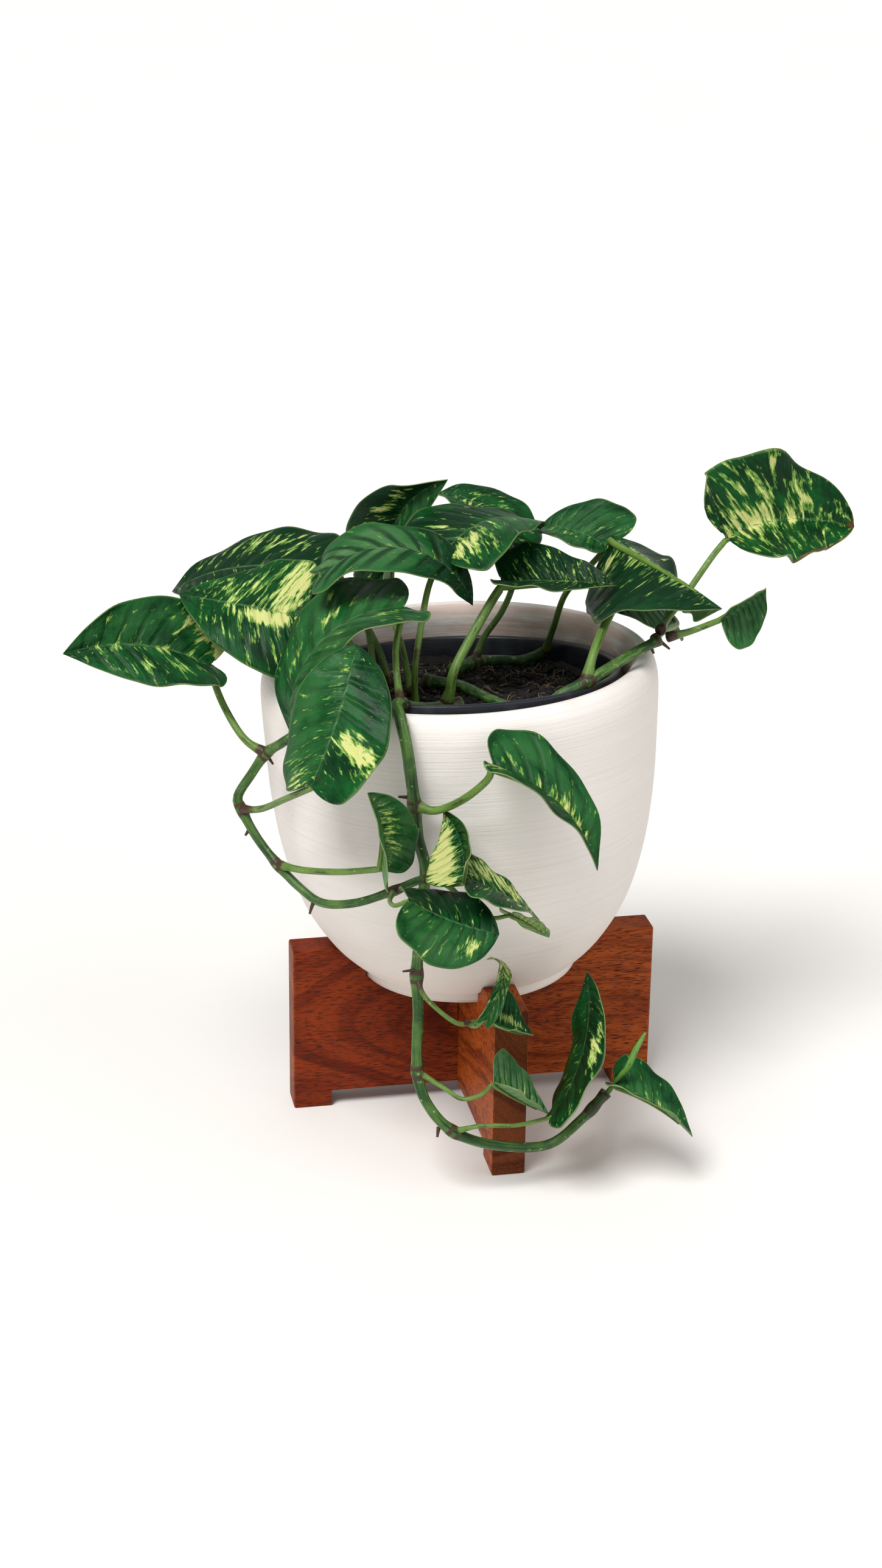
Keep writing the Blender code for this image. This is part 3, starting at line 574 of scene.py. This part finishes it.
class Finish:
    """A material in the making. Each method adds nodes and gives back a socket."""

    def __init__(self, name):
        self.look = bpy.data.materials.new(name)
        self.look.use_nodes = True
        self.tree = self.look.node_tree
        self.shader = self.tree.nodes["Principled BSDF"]

    def fill(self, target, sockets):
        """Links or sets a node's inputs, by name or number."""
        for key, value in sockets.items():
            if isinstance(value, bpy.types.NodeSocket):
                self.tree.links.new(value, target.inputs[key])
            else:
                target.inputs[key].default_value = value

    def add(self, kind, sockets, output=0, **settings):
        made = self.tree.nodes.new("ShaderNode" + kind)
        for key, value in settings.items():
            setattr(made, key, value)
        self.fill(made, sockets)
        return made.outputs[output]

    def finish(self, colour, roughness, height, depth, strength=1.0, **more):
        """Sets the shader's colour, roughness and relief, and any other inputs by name."""
        bump = self.add("Bump", {"Height": height, "Distance": depth, "Strength": strength})
        self.fill(self.shader, {"Base Color": colour, "Roughness": roughness, "Normal": bump})
        self.fill(self.shader, {key.replace("_", " "): value for key, value in more.items()})
        return self.look

    def noise(self, vector, scale=1.0, detail=4.0, roughness=0.55):
        return self.add("TexNoise", {"Vector": vector, "Scale": scale, "Detail": detail,
                                     "Roughness": roughness}, "Fac")

    def math(self, operation, a, b=0.0, c=0.0, clamp=False):
        return self.add("Math", {0: a, 1: b, 2: c}, operation=operation, use_clamp=clamp)

    def times(self, a, b, clamp=False):
        return self.math("MULTIPLY", a, b, clamp=clamp)

    def less(self, a, b):
        """a minus b, held between 0 and 1."""
        return self.math("SUBTRACT", a, b, clamp=True)

    def total(self, *parts, start=0.0):
        """Sockets added up, each given with its weight."""
        for socket, weight in parts:
            start = self.math("MULTIPLY_ADD", socket, weight, start)
        return start

    def rise(self, value, low, high):
        """0 at low, 1 at high and smooth between."""
        return self.add("MapRange", {"Value": value, "From Min": low, "From Max": high}, "Result",
                        interpolation_type="SMOOTHSTEP")

    def blend(self, share, a, b, mode="MIX"):
        colours = {key: value if isinstance(value, bpy.types.NodeSocket) else (*value, 1.0)
                   for key, value in ((6, a), (7, b))}
        return self.add("Mix", {0: share, **colours}, 2, data_type="RGBA", blend_type=mode)

    def over(self, base, share, colour, strength):
        """A colour laid over another, by a share and a strength."""
        return self.blend(self.times(share, strength), base, colour)

    def stretch(self, vector, scale):
        return self.add("Mapping", {"Vector": vector, "Scale": scale})

    def centred(self, vector, place, turn=(0, 0, 0)):
        """The vector as seen from a place and turn."""
        return self.add("Mapping", {"Vector": vector, "Location": place, "Rotation": turn},
                        vector_type="TEXTURE")

    def place(self):
        return self.add("TexCoord", {}, "Object")

    def grid_place(self):
        """The piece's own UV map, which shaped_grid lays out along and across."""
        return self.add("UVMap", {}, uv_map="UVMap")

    def attribute(self, name):
        return self.add("Attribute", {}, "Fac", attribute_name=name)

    def axes(self, vector):
        return self.add("SeparateXYZ", {0: vector}).node.outputs[:]

    def vector(self, x, y, z=0.0):
        return self.add("CombineXYZ", {0: x, 1: y, 2: z})

    def length(self, vector):
        return self.add("VectorMath", {0: vector}, "Value", operation="LENGTH")


def leaf_look(settings, under):
    """Waxy variegated leaf: streaks run with the side veins. The under side is paler."""
    made = Finish("leaf_under" if under else "leaf_upper")
    along, across, _ = made.axes(made.grid_place())
    seed = made.attribute("seed")
    share = made.math("ABSOLUTE", made.total((across, 2.0), start=-1.0))
    own = made.vector(along, across, seed)
    bent = made.total((made.noise(made.stretch(own, (3, 3, 9)), detail=2.0), 0.05), start=along)
    streaked = made.vector(bent, across, seed)
    streaks = made.noise(made.stretch(streaked, (30, 5, 7)), roughness=0.62)
    flecks = made.noise(made.stretch(streaked, (75, 16, 7)), detail=3.0, roughness=0.6)
    patch = made.noise(made.stretch(own, (5, 4, 5)), detail=3.0)
    # The pale attribute is painted light: it raises the tone as painted sheen and lowers it as painted shade
    # where below 0.
    pale = made.attribute("pale")

    tone = made.total((patch, 1.1), (flecks, 0.5), (pale, 0.6), start=-0.42)
    green = made.blend(made.rise(tone, 0.15, 0.68), settings.deep_green, settings.mid_green)
    # Painted sheen: grey pale green laid over the leaf where the pale amount is positive.
    painted_sheen = made.times(pale, made.rise(patch, 0.25, 0.7))
    green = made.over(green, painted_sheen, settings.pale_green, 0.75)

    # The vein grooves: sunk in the bump, and darkened in colour as painted shade.
    left_half = made.rise(across, 0.49, 0.51)
    band = made.total((left_half, 0.5), (bent, float(settings.veins)))
    from_vein = made.math("PINGPONG", band, 0.5)
    groove_and_shade = made.times(made.rise(from_vein, 0.30, 0.0), made.less(1.0, made.math("POWER", share, 3.0)))
    groove_and_shade = made.times(made.times(groove_and_shade, made.attribute("ribs")), 0.38, clamp=True)
    vein = made.math("DIVIDE", from_vein, made.total((share, -0.05), start=0.085))
    vein = made.times(made.less(1.0, vein), made.less(1.0, share))
    midrib = made.less(1.0, made.times(share, 34.0))
    # Painted shade: the vein grooves are darkened towards deep green.
    green = made.blend(groove_and_shade, green, settings.deep_green)
    green = made.over(green, vein, settings.pale_green, 0.10)
    green = made.over(green, midrib, settings.pale_green, 0.75)

    level = made.total((streaks, 1.25), (flecks, 0.35), (made.attribute("cream"), 0.40), start=-0.15)
    lime = made.blend(flecks, (0.07, 0.22, 0.03), (0.22, 0.36, 0.07))
    green = made.blend(made.rise(level, 0.80, 0.90), green, lime)
    green = made.blend(made.rise(level, 0.90, 0.985), green, settings.cream)
    green = made.over(green, made.rise(share, 0.955, 0.99), (0.20, 0.30, 0.09), 0.3)
    dryness = made.times(made.attribute("dry"), made.rise(streaks, 0.3, 0.5))
    green = made.blend(made.rise(dryness, 0.25, 0.55), green, settings.dry)

    soft = {"Subsurface_Weight": 0.12, "Subsurface_Radius": (0.5, 1.0, 0.2), "Subsurface_Scale": 0.0012}
    if under:
        green = made.blend(0.55, green, (0.12, 0.27, 0.075))
        height = made.total((groove_and_shade, 3.0), (streaks, 0.7))
        return made.finish(green, 0.55, height, 0.7 * MM, **soft)
    height = made.total((groove_and_shade, -3.0), (streaks, 0.7))
    gloss = made.total((patch, 0.25), start=0.25)
    return made.finish(green, gloss, height, 0.7 * MM, Specular_IOR_Level=0.11, **soft)


def margin_look():
    """The thin pale rim of a leaf."""
    made = Finish("leaf_margin")
    tone = made.noise(made.place(), 220.0)
    return made.finish(made.blend(tone, (0.05, 0.13, 0.03), (0.24, 0.30, 0.10)), 0.5, tone, 0.1 * MM)


def stem_look(settings, name, green):
    """Smooth living stem, streaked along its length and browned at its nodes."""
    made = Finish(name)
    place = made.place()
    streak = made.noise(made.stretch(made.grid_place(), (7, 9, 1)), roughness=0.6)
    patch = made.noise(place, 70.0, 3.0)
    grain = made.noise(place, 900.0, 3.0)
    lenticels = made.rise(made.noise(place, 420.0, 1.0), 0.66, 0.72)
    browned = made.total((made.attribute("dry"), 1.0), (grain, 0.25), (streak, 0.6))
    colour = made.blend(made.rise(patch, 0.35, 0.7), green, made.blend(0.35, green, (0.15, 0.30, 0.05)))
    colour = made.over(colour, made.rise(streak, 0.52, 0.68), (0.17, 0.29, 0.065), 0.6)
    colour = made.blend(made.rise(streak, 0.46, 0.34), colour, tuple(0.35 * c for c in green))
    colour = made.over(colour, lenticels, (0.25, 0.34, 0.13), 0.6)
    colour = made.blend(made.rise(browned, 0.72, 0.95), colour, settings.bark)
    return made.finish(colour, made.total((grain, 0.2), start=0.34), made.math("ADD", grain, streak),
                       0.35 * MM, 0.7, Specular_IOR_Level=0.35)


def pot_look(settings):
    """Brushed whitewash over pink clay, thin at the rim and inside, and warmer towards the foot."""
    made = Finish("whitewashed_clay")
    own = made.centred(made.place(), tuple(MODEL_OFFSET + POT_CENTRE), (POT_LEAN[0], POT_LEAN[1], 0))
    lines = made.noise(made.stretch(own, (7, 7, 900)), detail=5.0, roughness=0.6)
    strokes = made.noise(made.stretch(own, (26, 26, 160)))
    cloud = made.noise(own, 16.0, 3.0)
    grain = made.noise(own, 1500.0, 2.0)
    x, y, height = made.axes(own)
    radius = made.length(made.vector(x, y))
    paint = made.blend(made.rise(lines, 0.25, 0.6), tuple(0.94 * c for c in settings.whitewash),
                       settings.whitewash)
    paint = made.over(paint, made.rise(cloud, 0.45, 0.75), (0.78, 0.71, 0.65), 0.25)
    # Warmer and pinker towards the foot.
    paint = made.over(paint, made.rise(height, 0.075, 0.0), (0.80, 0.69, 0.61), 0.4)
    rim = made.rise(height, 0.1775, 0.1835)
    inside = made.times(made.rise(radius, 0.1015, 0.098), made.rise(height, 0.12, 0.14))
    bare = made.total((rim, 0.12), (inside, 0.36), (strokes, 1.0))
    paint = made.blend(made.rise(bare, 0.66, 0.98), paint,
                       made.blend(0.45, settings.clay, settings.whitewash))
    specks = made.rise(made.noise(own, 330.0, 1.0), 0.79, 0.82)
    paint = made.over(paint, specks, (0.30, 0.22, 0.17), 0.6)
    brushed = made.total((lines, 1.0), (strokes, 0.8), (grain, 0.25))
    return made.finish(paint, made.total((lines, 0.25), start=0.5), brushed, 0.35 * MM, 0.75)


def plastic_look(settings):
    """Thin dark plastic, dulled by dust and scuffs."""
    made = Finish("black_plastic")
    place = made.place()
    dust = made.rise(made.noise(place, 60.0, 5.0), 0.45, 0.75)
    scuff = made.noise(made.stretch(place, (90, 90, 1200)), detail=3.0)
    colour = made.over(settings.plastic, dust, (0.07, 0.075, 0.085), 0.25)
    return made.finish(colour, made.total((dust, 0.25), start=0.3), scuff, 0.12 * MM, 0.6)


def soil_look(settings):
    """Damp dark soil with brown flecks."""
    made = Finish("potting_soil")
    place = made.place()
    lumps = made.noise(place, 260.0, 6.0, 0.7)
    flecks = made.rise(made.noise(place, 700.0, 2.0), 0.6, 0.7)
    colour = made.blend(made.rise(lumps, 0.4, 0.7), settings.dark, (0.015, 0.011, 0.009))
    colour = made.over(colour, flecks, (0.10, 0.06, 0.035), 0.35)
    return made.finish(colour, 0.9, lumps, 1.6 * MM)


def fibre_look(settings):
    """Dry coir."""
    made = Finish("coir_fibre")
    tone = made.noise(made.place(), 300.0)
    return made.finish(made.blend(tone, (0.07, 0.04, 0.02), settings.fibre), 0.85, tone, 0.1 * MM)


def wood_look(settings, name, yaw, heart, tints, end):
    """Oiled hardwood, cut from rings about a heart given as (y, z), with a tint for each half
    and one for the end grain."""
    made = Finish(name)
    own = made.centred(made.place(), tuple(MODEL_OFFSET), (0, 0, yaw))
    along, across, height = made.axes(own)
    sway = made.noise(made.stretch(own, (9, 12, 12)), detail=2.0)
    bowed = made.vector(along, across, made.total((sway, 0.07), start=height))
    from_heart = made.length(made.stretch(made.centred(bowed, (0.075, *heart)), (0.3, 1, 1)))
    rings = made.vector(made.times(from_heart, 210.0), made.times(along, 6.0))
    ring = made.rise(made.noise(rings, detail=3.0, roughness=0.6), 0.36, 0.62)
    fine = made.noise(made.stretch(own, (40, 700, 700)), roughness=0.65)
    tone = made.noise(made.stretch(own, (7, 26, 26)), detail=3.0)
    mixed = made.total((ring, 0.45), (fine, 0.75), (tone, 0.8))
    colour = made.blend(made.rise(mixed, 0.55, 1.35), settings.dark, settings.light)
    tint = made.blend(made.rise(along, -0.03, 0.01), *tints)
    at_end = made.rise(made.math("ABSOLUTE", along), BOARD_END - 0.8 * MM, BOARD_END - 0.3 * MM)
    colour = made.blend(1.0, colour, made.blend(at_end, tint, end), "MULTIPLY")
    pores = made.rise(made.noise(made.stretch(own, (170, 1700, 1700)), detail=1.0), 0.56, 0.66)
    colour = made.over(colour, pores, settings.pore, 0.85)
    return made.finish(colour, made.total((fine, 0.25), start=0.36), made.total((pores, -1.0), (fine, 0.5)),
                       0.3 * MM, 0.8, Specular_IOR_Level=0.12)


class POTHOS_OT_stand(bpy.types.Operator):
    """Gives the stand's two boards their wood"""

    bl_idname = "pothos.stand"
    bl_label = "Stand"

    def execute(self, context):
        wood = context.scene.pothos_wood
        plain = (1.0, 1.0, 1.0)
        boards = (("stand_board_long", STAND_YAW, (-0.002, 0.085), ((0.62, 0.42, 0.42), plain),
                   (0.8, 0.8, 0.8)),
                  ("stand_board_cross", STAND_YAW + math.pi / 2, (-0.03, 0.14),
                   ((1.2, 1.25, 1.0), plain), (0.42, 0.5, 0.6)))
        for node, yaw, heart, tints, end in boards:
            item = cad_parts[node]
            item.data.materials.clear()
            item.data.materials.append(wood_look(wood, node + "_wood", yaw, heart, tints, end))
        return {"FINISHED"}


class POTHOS_OT_pot(bpy.types.Operator):
    """Turns the clay pot and the nursery pot inside it"""

    bl_idname = "pothos.pot"
    bl_label = "Pots"

    def execute(self, context):
        settings = context.scene.pothos_pot

        def thrown(point):
            """Strays a little, as a wall shaped by hand does."""
            out = Vector((point.x, point.y, 0))
            if out.length < 0.05:
                return Vector((0, 0, 0))
            rings = Vector((point.x * 20, point.y * 20, point.z * 110))
            amount = noise.noise(point * 9) + 0.35 * noise.noise(rings)
            return out.normalized() * amount * settings.wobble

        pot = lathe("clay_pot", POT_OUTLINE, 6, 160, pot_matrix(), thrown)
        keep(pot, [pot_look(settings)], "whitewashed_clay", "pot")
        place = pot_matrix(LINER_HEIGHT + LINER_RISE, LINER_TILT)
        liner = lathe("inner_pot", LINER_OUTLINE, 4, 144, place, lambda point: Vector((0, 0, 0)))
        keep(liner, [plastic_look(settings)], "black_plastic", "nursery_pot")
        return {"FINISHED"}


class POTHOS_OT_soil(bpy.types.Operator):
    """Lays the lumpy soil, its crumbs and its fibres"""

    bl_idname = "pothos.soil"
    bl_label = "Soil"

    def execute(self, context):
        settings = context.scene.pothos_soil
        chance = random.Random(4)
        matrix = pot_matrix(LINER_HEIGHT, SOIL_TILT)
        top = SOIL_OUTLINE[0][1] * MM

        def lumpy(point):
            if point.z < top - 1 * MM:
                return Vector((0, 0, 0))
            rise = sum(height * noise.noise(point * fineness)
                       for height, fineness in ((1.0, 55), (0.7, 160), (0.4, 420)))
            near_wall = min(1.0, (SOIL_RADIUS - Vector((point.x, point.y)).length) / (4 * MM))
            return Vector((0, 0, rise * settings.roughness * max(near_wall, 0)))

        def scattered(reach):
            """A chance place on the flat soil."""
            far, angle = reach * math.sqrt(chance.random()), chance.uniform(0, 2 * math.pi)
            return Vector((far * math.cos(angle), far * math.sin(angle), top))

        look = soil_look(settings)
        soil = lathe("soil_bed", SOIL_OUTLINE, 14, 150, matrix, lumpy)
        keep(soil, [look], "potting_soil", "soil")

        deselect()
        bpy.ops.mesh.primitive_ico_sphere_add(subdivisions=1, radius=1.0)
        crumb = context.object
        corners = [vertex.co.copy() for vertex in crumb.data.vertices]
        sides = [tuple(face.vertices) for face in crumb.data.polygons]
        bpy.data.objects.remove(crumb)
        points, faces = [], []
        for _ in range(settings.crumbs):
            spot = scattered(81 * MM)
            spot += lumpy(spot) + Vector((0, 0, 0.4 * MM))
            size = chance.choice(CRUMB_SIZES) * MM
            turn = Matrix.Rotation(chance.uniform(0, 6), 3, "Z")
            turn = turn @ Matrix.Rotation(chance.uniform(0, 6), 3, "X")
            shape = Matrix.Diagonal((size * chance.uniform(0.8, 1.9), size, size * chance.uniform(0.5, 1.0)))
            faces += [tuple(len(points) + i for i in side) for side in sides]
            points += [matrix @ (spot + turn @ (shape @ corner)) for corner in corners]
        mesh = bpy.data.meshes.new("soil_crumbs")
        mesh.from_pydata(points, [], faces)
        crumbs = bpy.data.objects.new("soil_crumbs", mesh)
        context.scene.collection.objects.link(crumbs)
        keep(crumbs, [look], "potting_soil")

        strands = []
        for _ in range(settings.fibres):
            spot = scattered(78 * MM)
            heading = chance.uniform(0, 2 * math.pi)
            path = []
            for _ in range(FIBRE_POINTS):
                lift = Vector((0, 0, chance.uniform(0.6, 2.6) * MM))
                path.append(matrix @ (spot + lumpy(spot) + lift))
                step = chance.uniform(1.5, 3.2) * MM
                heading += chance.uniform(-0.6, 0.6)
                flat = Vector((spot.x + step * math.cos(heading), spot.y + step * math.sin(heading), 0))
                spot = flat.normalized() * min(flat.length, 82 * MM) + Vector((0, 0, top))
            radii = [chance.uniform(0.16, 0.34) * MM] * FIBRE_POINTS
            strands.append(tube("strand", path, radii, 5, [{"dry": 0.0}] * FIBRE_POINTS))
        keep(join(strands, "soil_fibres"), [fibre_look(settings)], "potting_soil")
        return {"FINISHED"}


def node_places(name):
    """Where stalks leave a vine, in metres."""
    route = smooth_route([mm_point(p) for p in VINES[name][1]], 2 * MM)
    found = []
    for stalk in STALKS:
        start = mm_point(stalk.route[0])
        near = min(route, key=lambda p: (p - start).length)
        if (near - start).length < NODE_REACH:
            found.append(near)
    return found


class POTHOS_OT_vines(bpy.types.Operator):
    """Grows the vines, with their nodes and root stubs"""

    bl_idname = "pothos.vines"
    bl_label = "Vines"

    def execute(self, context):
        settings = context.scene.pothos_stem
        look = stem_look(settings, "vine_skin", settings.dark)
        for name, (radius, points) in VINES.items():
            path = smooth_route([mm_point(p) for p in points], settings.ring_gap)
            swellings = node_places(name) + [path[0], path[-1]]
            radii, values = [], []
            for index, place in enumerate(path):
                near = min((place - knot).length for knot in swellings)
                swell = math.exp(-(near / (4.5 * MM)) ** 2)
                thin = 1 - 0.22 * index / len(path)
                radii.append(radius * MM * thin * (1 + 0.32 * swell + 0.04 * noise.noise(place * 130)))
                values.append({"dry": 0.75 * math.exp(-((near - 2.5 * MM) / (1.6 * MM)) ** 2)})
            stem = tube(name + "_stem", path, radii, settings.sides, values, 0.03)
            stubs = []
            for vine, start, way, length in ROOTS:
                if vine != name:
                    continue
                root = mm_point(start)
                ahead = Vector(way).normalized() * length * MM
                bow = Vector((0.12, 0.1, -0.15)) * length * MM
                bend = root + ahead * 0.5 + bow * 0.4
                line = smooth_route([root, bend, root + ahead + bow], 1.2 * MM)
                count = len(line)
                thinning = [(1.25 - 0.75 * i / count) * MM for i in range(count)]
                stubs.append(tube("stub", line, thinning, 8, [{"dry": 1.2}] * count))
            keep(join([stem] + stubs, name + "_stem"), [look], "green_stem", name)
        return {"FINISHED"}


class POTHOS_OT_stalks(bpy.types.Operator):
    """Grows each leaf stalk, which runs on under its blade as the midrib"""

    bl_idname = "pothos.stalks"
    bl_label = "Leaf stalks"

    def execute(self, context):
        settings = context.scene.pothos_stem
        look = stem_look(settings, "stalk_skin", settings.green)
        leaves = {leaf.name: leaf for leaf in LEAVES}
        for stalk in STALKS:
            leaf = leaves[stalk.leaf]
            base, turn = blade_frame(leaf, 0)
            below = turn @ Vector((0, 0, -1.1 * stalk.radius))
            path = smooth_route([mm_point(p) for p in (*stalk.route, base + below)], settings.ring_gap)
            radii, values = [], []
            for index, place in enumerate(path):
                far = index * settings.ring_gap
                swell = 0.55 * math.exp(-(far / (7 * MM)) ** 2)
                radii.append(stalk.radius * MM * (1 + swell - 0.12 * index / len(path)))
                sheath = 0.75 * math.exp(-(far / (5 * MM)) ** 2)
                values.append({"dry": sheath + 0.7 * max(0, noise.noise(place * 60))})
            for step in range(1, MIDRIB_STEPS):
                share = step / MIDRIB_STEPS * MIDRIB_END
                point, turn = blade_frame(leaf, share)
                radius = stalk.radius * (0.8 * (1 - share) + 0.08)
                sunk = 0.9 * radius + 0.45 + MIDRIB_DEPTH * leaf_size(leaf) * (1 - share)
                path.append(mm_point(point + turn @ Vector((0, 0, -sunk))))
                radii.append(radius * MM)
                values.append({"dry": 0.0})
            item = tube("stalk_" + leaf.name, path, radii, settings.sides, values)
            keep(item, [look], "green_stem", *([stalk.node] if stalk.node else []))
        return {"FINISHED"}


class POTHOS_OT_leaves(bpy.types.Operator):
    """Grows the heart-shaped leaf blades"""

    bl_idname = "pothos.leaves"
    bl_label = "Leaf blades"

    def execute(self, context):
        settings = context.scene.pothos_leaf
        looks = [leaf_look(settings, False), leaf_look(settings, True), margin_look()]
        for leaf in LEAVES:
            full = leaf.full / 100
            edge = [tuple(s + full * (f - s) for s, f in zip(slim, wide))
                    for slim, wide in zip(SLIM_EDGE, FULL_EDGE)]
            blade = shaped_grid("blade_" + leaf.name, settings.rows, settings.columns,
                                lambda u, v: blade_point(leaf, edge, u, v, settings),
                                lambda u, v: blade_marks(leaf, u, v))
            shell = blade.modifiers.new("thickness", "SOLIDIFY")
            shell.thickness = settings.thickness
            shell.offset = -1
            shell.material_offset = 1
            shell.material_offset_rim = 2
            for look in looks:
                blade.data.materials.append(look)
            apply_modifiers(blade)
            keep(blade, [], "green_leaf", "leaf_" + leaf.name)
        return {"FINISHED"}


class POTHOS_OT_new_leaf(bpy.types.Operator):
    """Grows the rolled new leaf at the end of the front vine"""

    bl_idname = "pothos.new_leaf"
    bl_label = "New leaf"

    def execute(self, context):
        settings = context.scene.pothos_stem
        path = smooth_route([mm_point(p) for p in NEW_LEAF], 1.2 * MM)
        count = len(path)
        radii = [(0.5 + 1.3 * math.sin(math.pi * ((i + 1) / count)) ** 0.7) * MM for i in range(count)]
        item = tube("new_leaf", path, radii, 12, [{"dry": 0.0}] * count)
        keep(item, [stem_look(settings, "new_leaf_skin", (0.10, 0.26, 0.04))], "green_stem")
        return {"FINISHED"}


class POTHOS_OT_stage(bpy.types.Operator):
    """Sets the floor, the lights and the camera"""

    bl_idname = "pothos.stage"
    bl_label = "Stage"

    def execute(self, context):
        settings = context.scene.pothos_stage
        deselect()
        bpy.ops.mesh.primitive_plane_add(size=40)
        floor = context.object
        floor.name = "floor"
        paper = Finish("floor_paper")
        shade = tuple(0.96 * c for c in settings.floor)
        tone = paper.blend(paper.noise(paper.place(), 3.0), shade, settings.floor)
        paper.fill(paper.shader, {"Base Color": tone, "Roughness": 0.85})
        floor.data.materials.append(paper.look)

        world = bpy.data.worlds.new("room")
        world.use_nodes = True
        room = world.node_tree.nodes["Background"].inputs
        room["Color"].default_value = (1.0, 0.985, 0.97, 1.0)
        room["Strength"].default_value = settings.sky
        context.scene.world = world
        lights = (("key", (-0.55, -0.85, 1.5), 26, settings.key),
                  ("fill", (1.0, -0.6, 1.0), 50, settings.fill))
        for name, place, spread, power in lights:
            lamp = bpy.data.lights.new(name, "SUN")
            lamp.angle = math.radians(spread)
            lamp.energy = power
            item = bpy.data.objects.new(name, lamp)
            item.location = place
            item.rotation_euler = (-Vector(place)).to_track_quat("-Z", "Y").to_euler()
            context.scene.collection.objects.link(item)

        level, steep = math.cos(CAMERA_PITCH), math.sin(CAMERA_PITCH)
        ahead, right, down = Vector((0, level, -steep)), Vector((1, 0, 0)), Vector((0, -steep, -level))
        upright, leant = math.cos(CAMERA_ROLL), math.sin(CAMERA_ROLL)
        right, down = right * upright + down * leant, down * upright - right * leant
        camera = bpy.data.objects.new("camera", bpy.data.cameras.new("camera"))
        camera.data.lens = CAMERA_LENS
        camera.data.sensor_width = SENSOR_WIDTH
        axes = Matrix((right, -down, -ahead)).transposed().to_4x4()
        camera.matrix_world = Matrix.Translation(CAMERA_PLACE + MODEL_OFFSET) @ axes
        context.scene.collection.objects.link(camera)
        context.scene.camera = camera
        context.scene.view_settings.view_transform = "Standard"
        return {"FINISHED"}


class POTHOS_PT_panel(bpy.types.Panel):
    """Lists the plant's pieces"""

    bl_idname = "POTHOS_PT_panel"
    bl_label = "Pothos"
    bl_space_type = "VIEW_3D"
    bl_region_type = "UI"
    bl_category = "Pothos"

    def draw(self, context):
        for operator in OPERATORS:
            self.layout.operator(operator.bl_idname)


SETTINGS = {"pothos_leaf": LeafSettings, "pothos_stem": StemSettings, "pothos_pot": PotSettings,
            "pothos_soil": SoilSettings, "pothos_wood": WoodSettings, "pothos_stage": StageSettings}
OPERATORS = (POTHOS_OT_stand, POTHOS_OT_pot, POTHOS_OT_soil, POTHOS_OT_vines, POTHOS_OT_stalks,
             POTHOS_OT_leaves, POTHOS_OT_new_leaf, POTHOS_OT_stage)


def register():
    for item in (*SETTINGS.values(), *OPERATORS, POTHOS_PT_panel):
        bpy.utils.register_class(item)
    for name, group in SETTINGS.items():
        setattr(bpy.types.Scene, name, bpy.props.PointerProperty(type=group))


def unregister():
    for name in SETTINGS:
        delattr(bpy.types.Scene, name)
    for item in (POTHOS_PT_panel, *reversed(OPERATORS), *reversed(SETTINGS.values())):
        bpy.utils.unregister_class(item)


def main():
    register()
    bpy.ops.pothos.stand()
    bpy.ops.pothos.pot()
    bpy.ops.pothos.soil()
    bpy.ops.pothos.vines()
    bpy.ops.pothos.stalks()
    bpy.ops.pothos.leaves()
    bpy.ops.pothos.new_leaf()
    bpy.ops.pothos.stage()


if __name__ == "__main__":
    main()
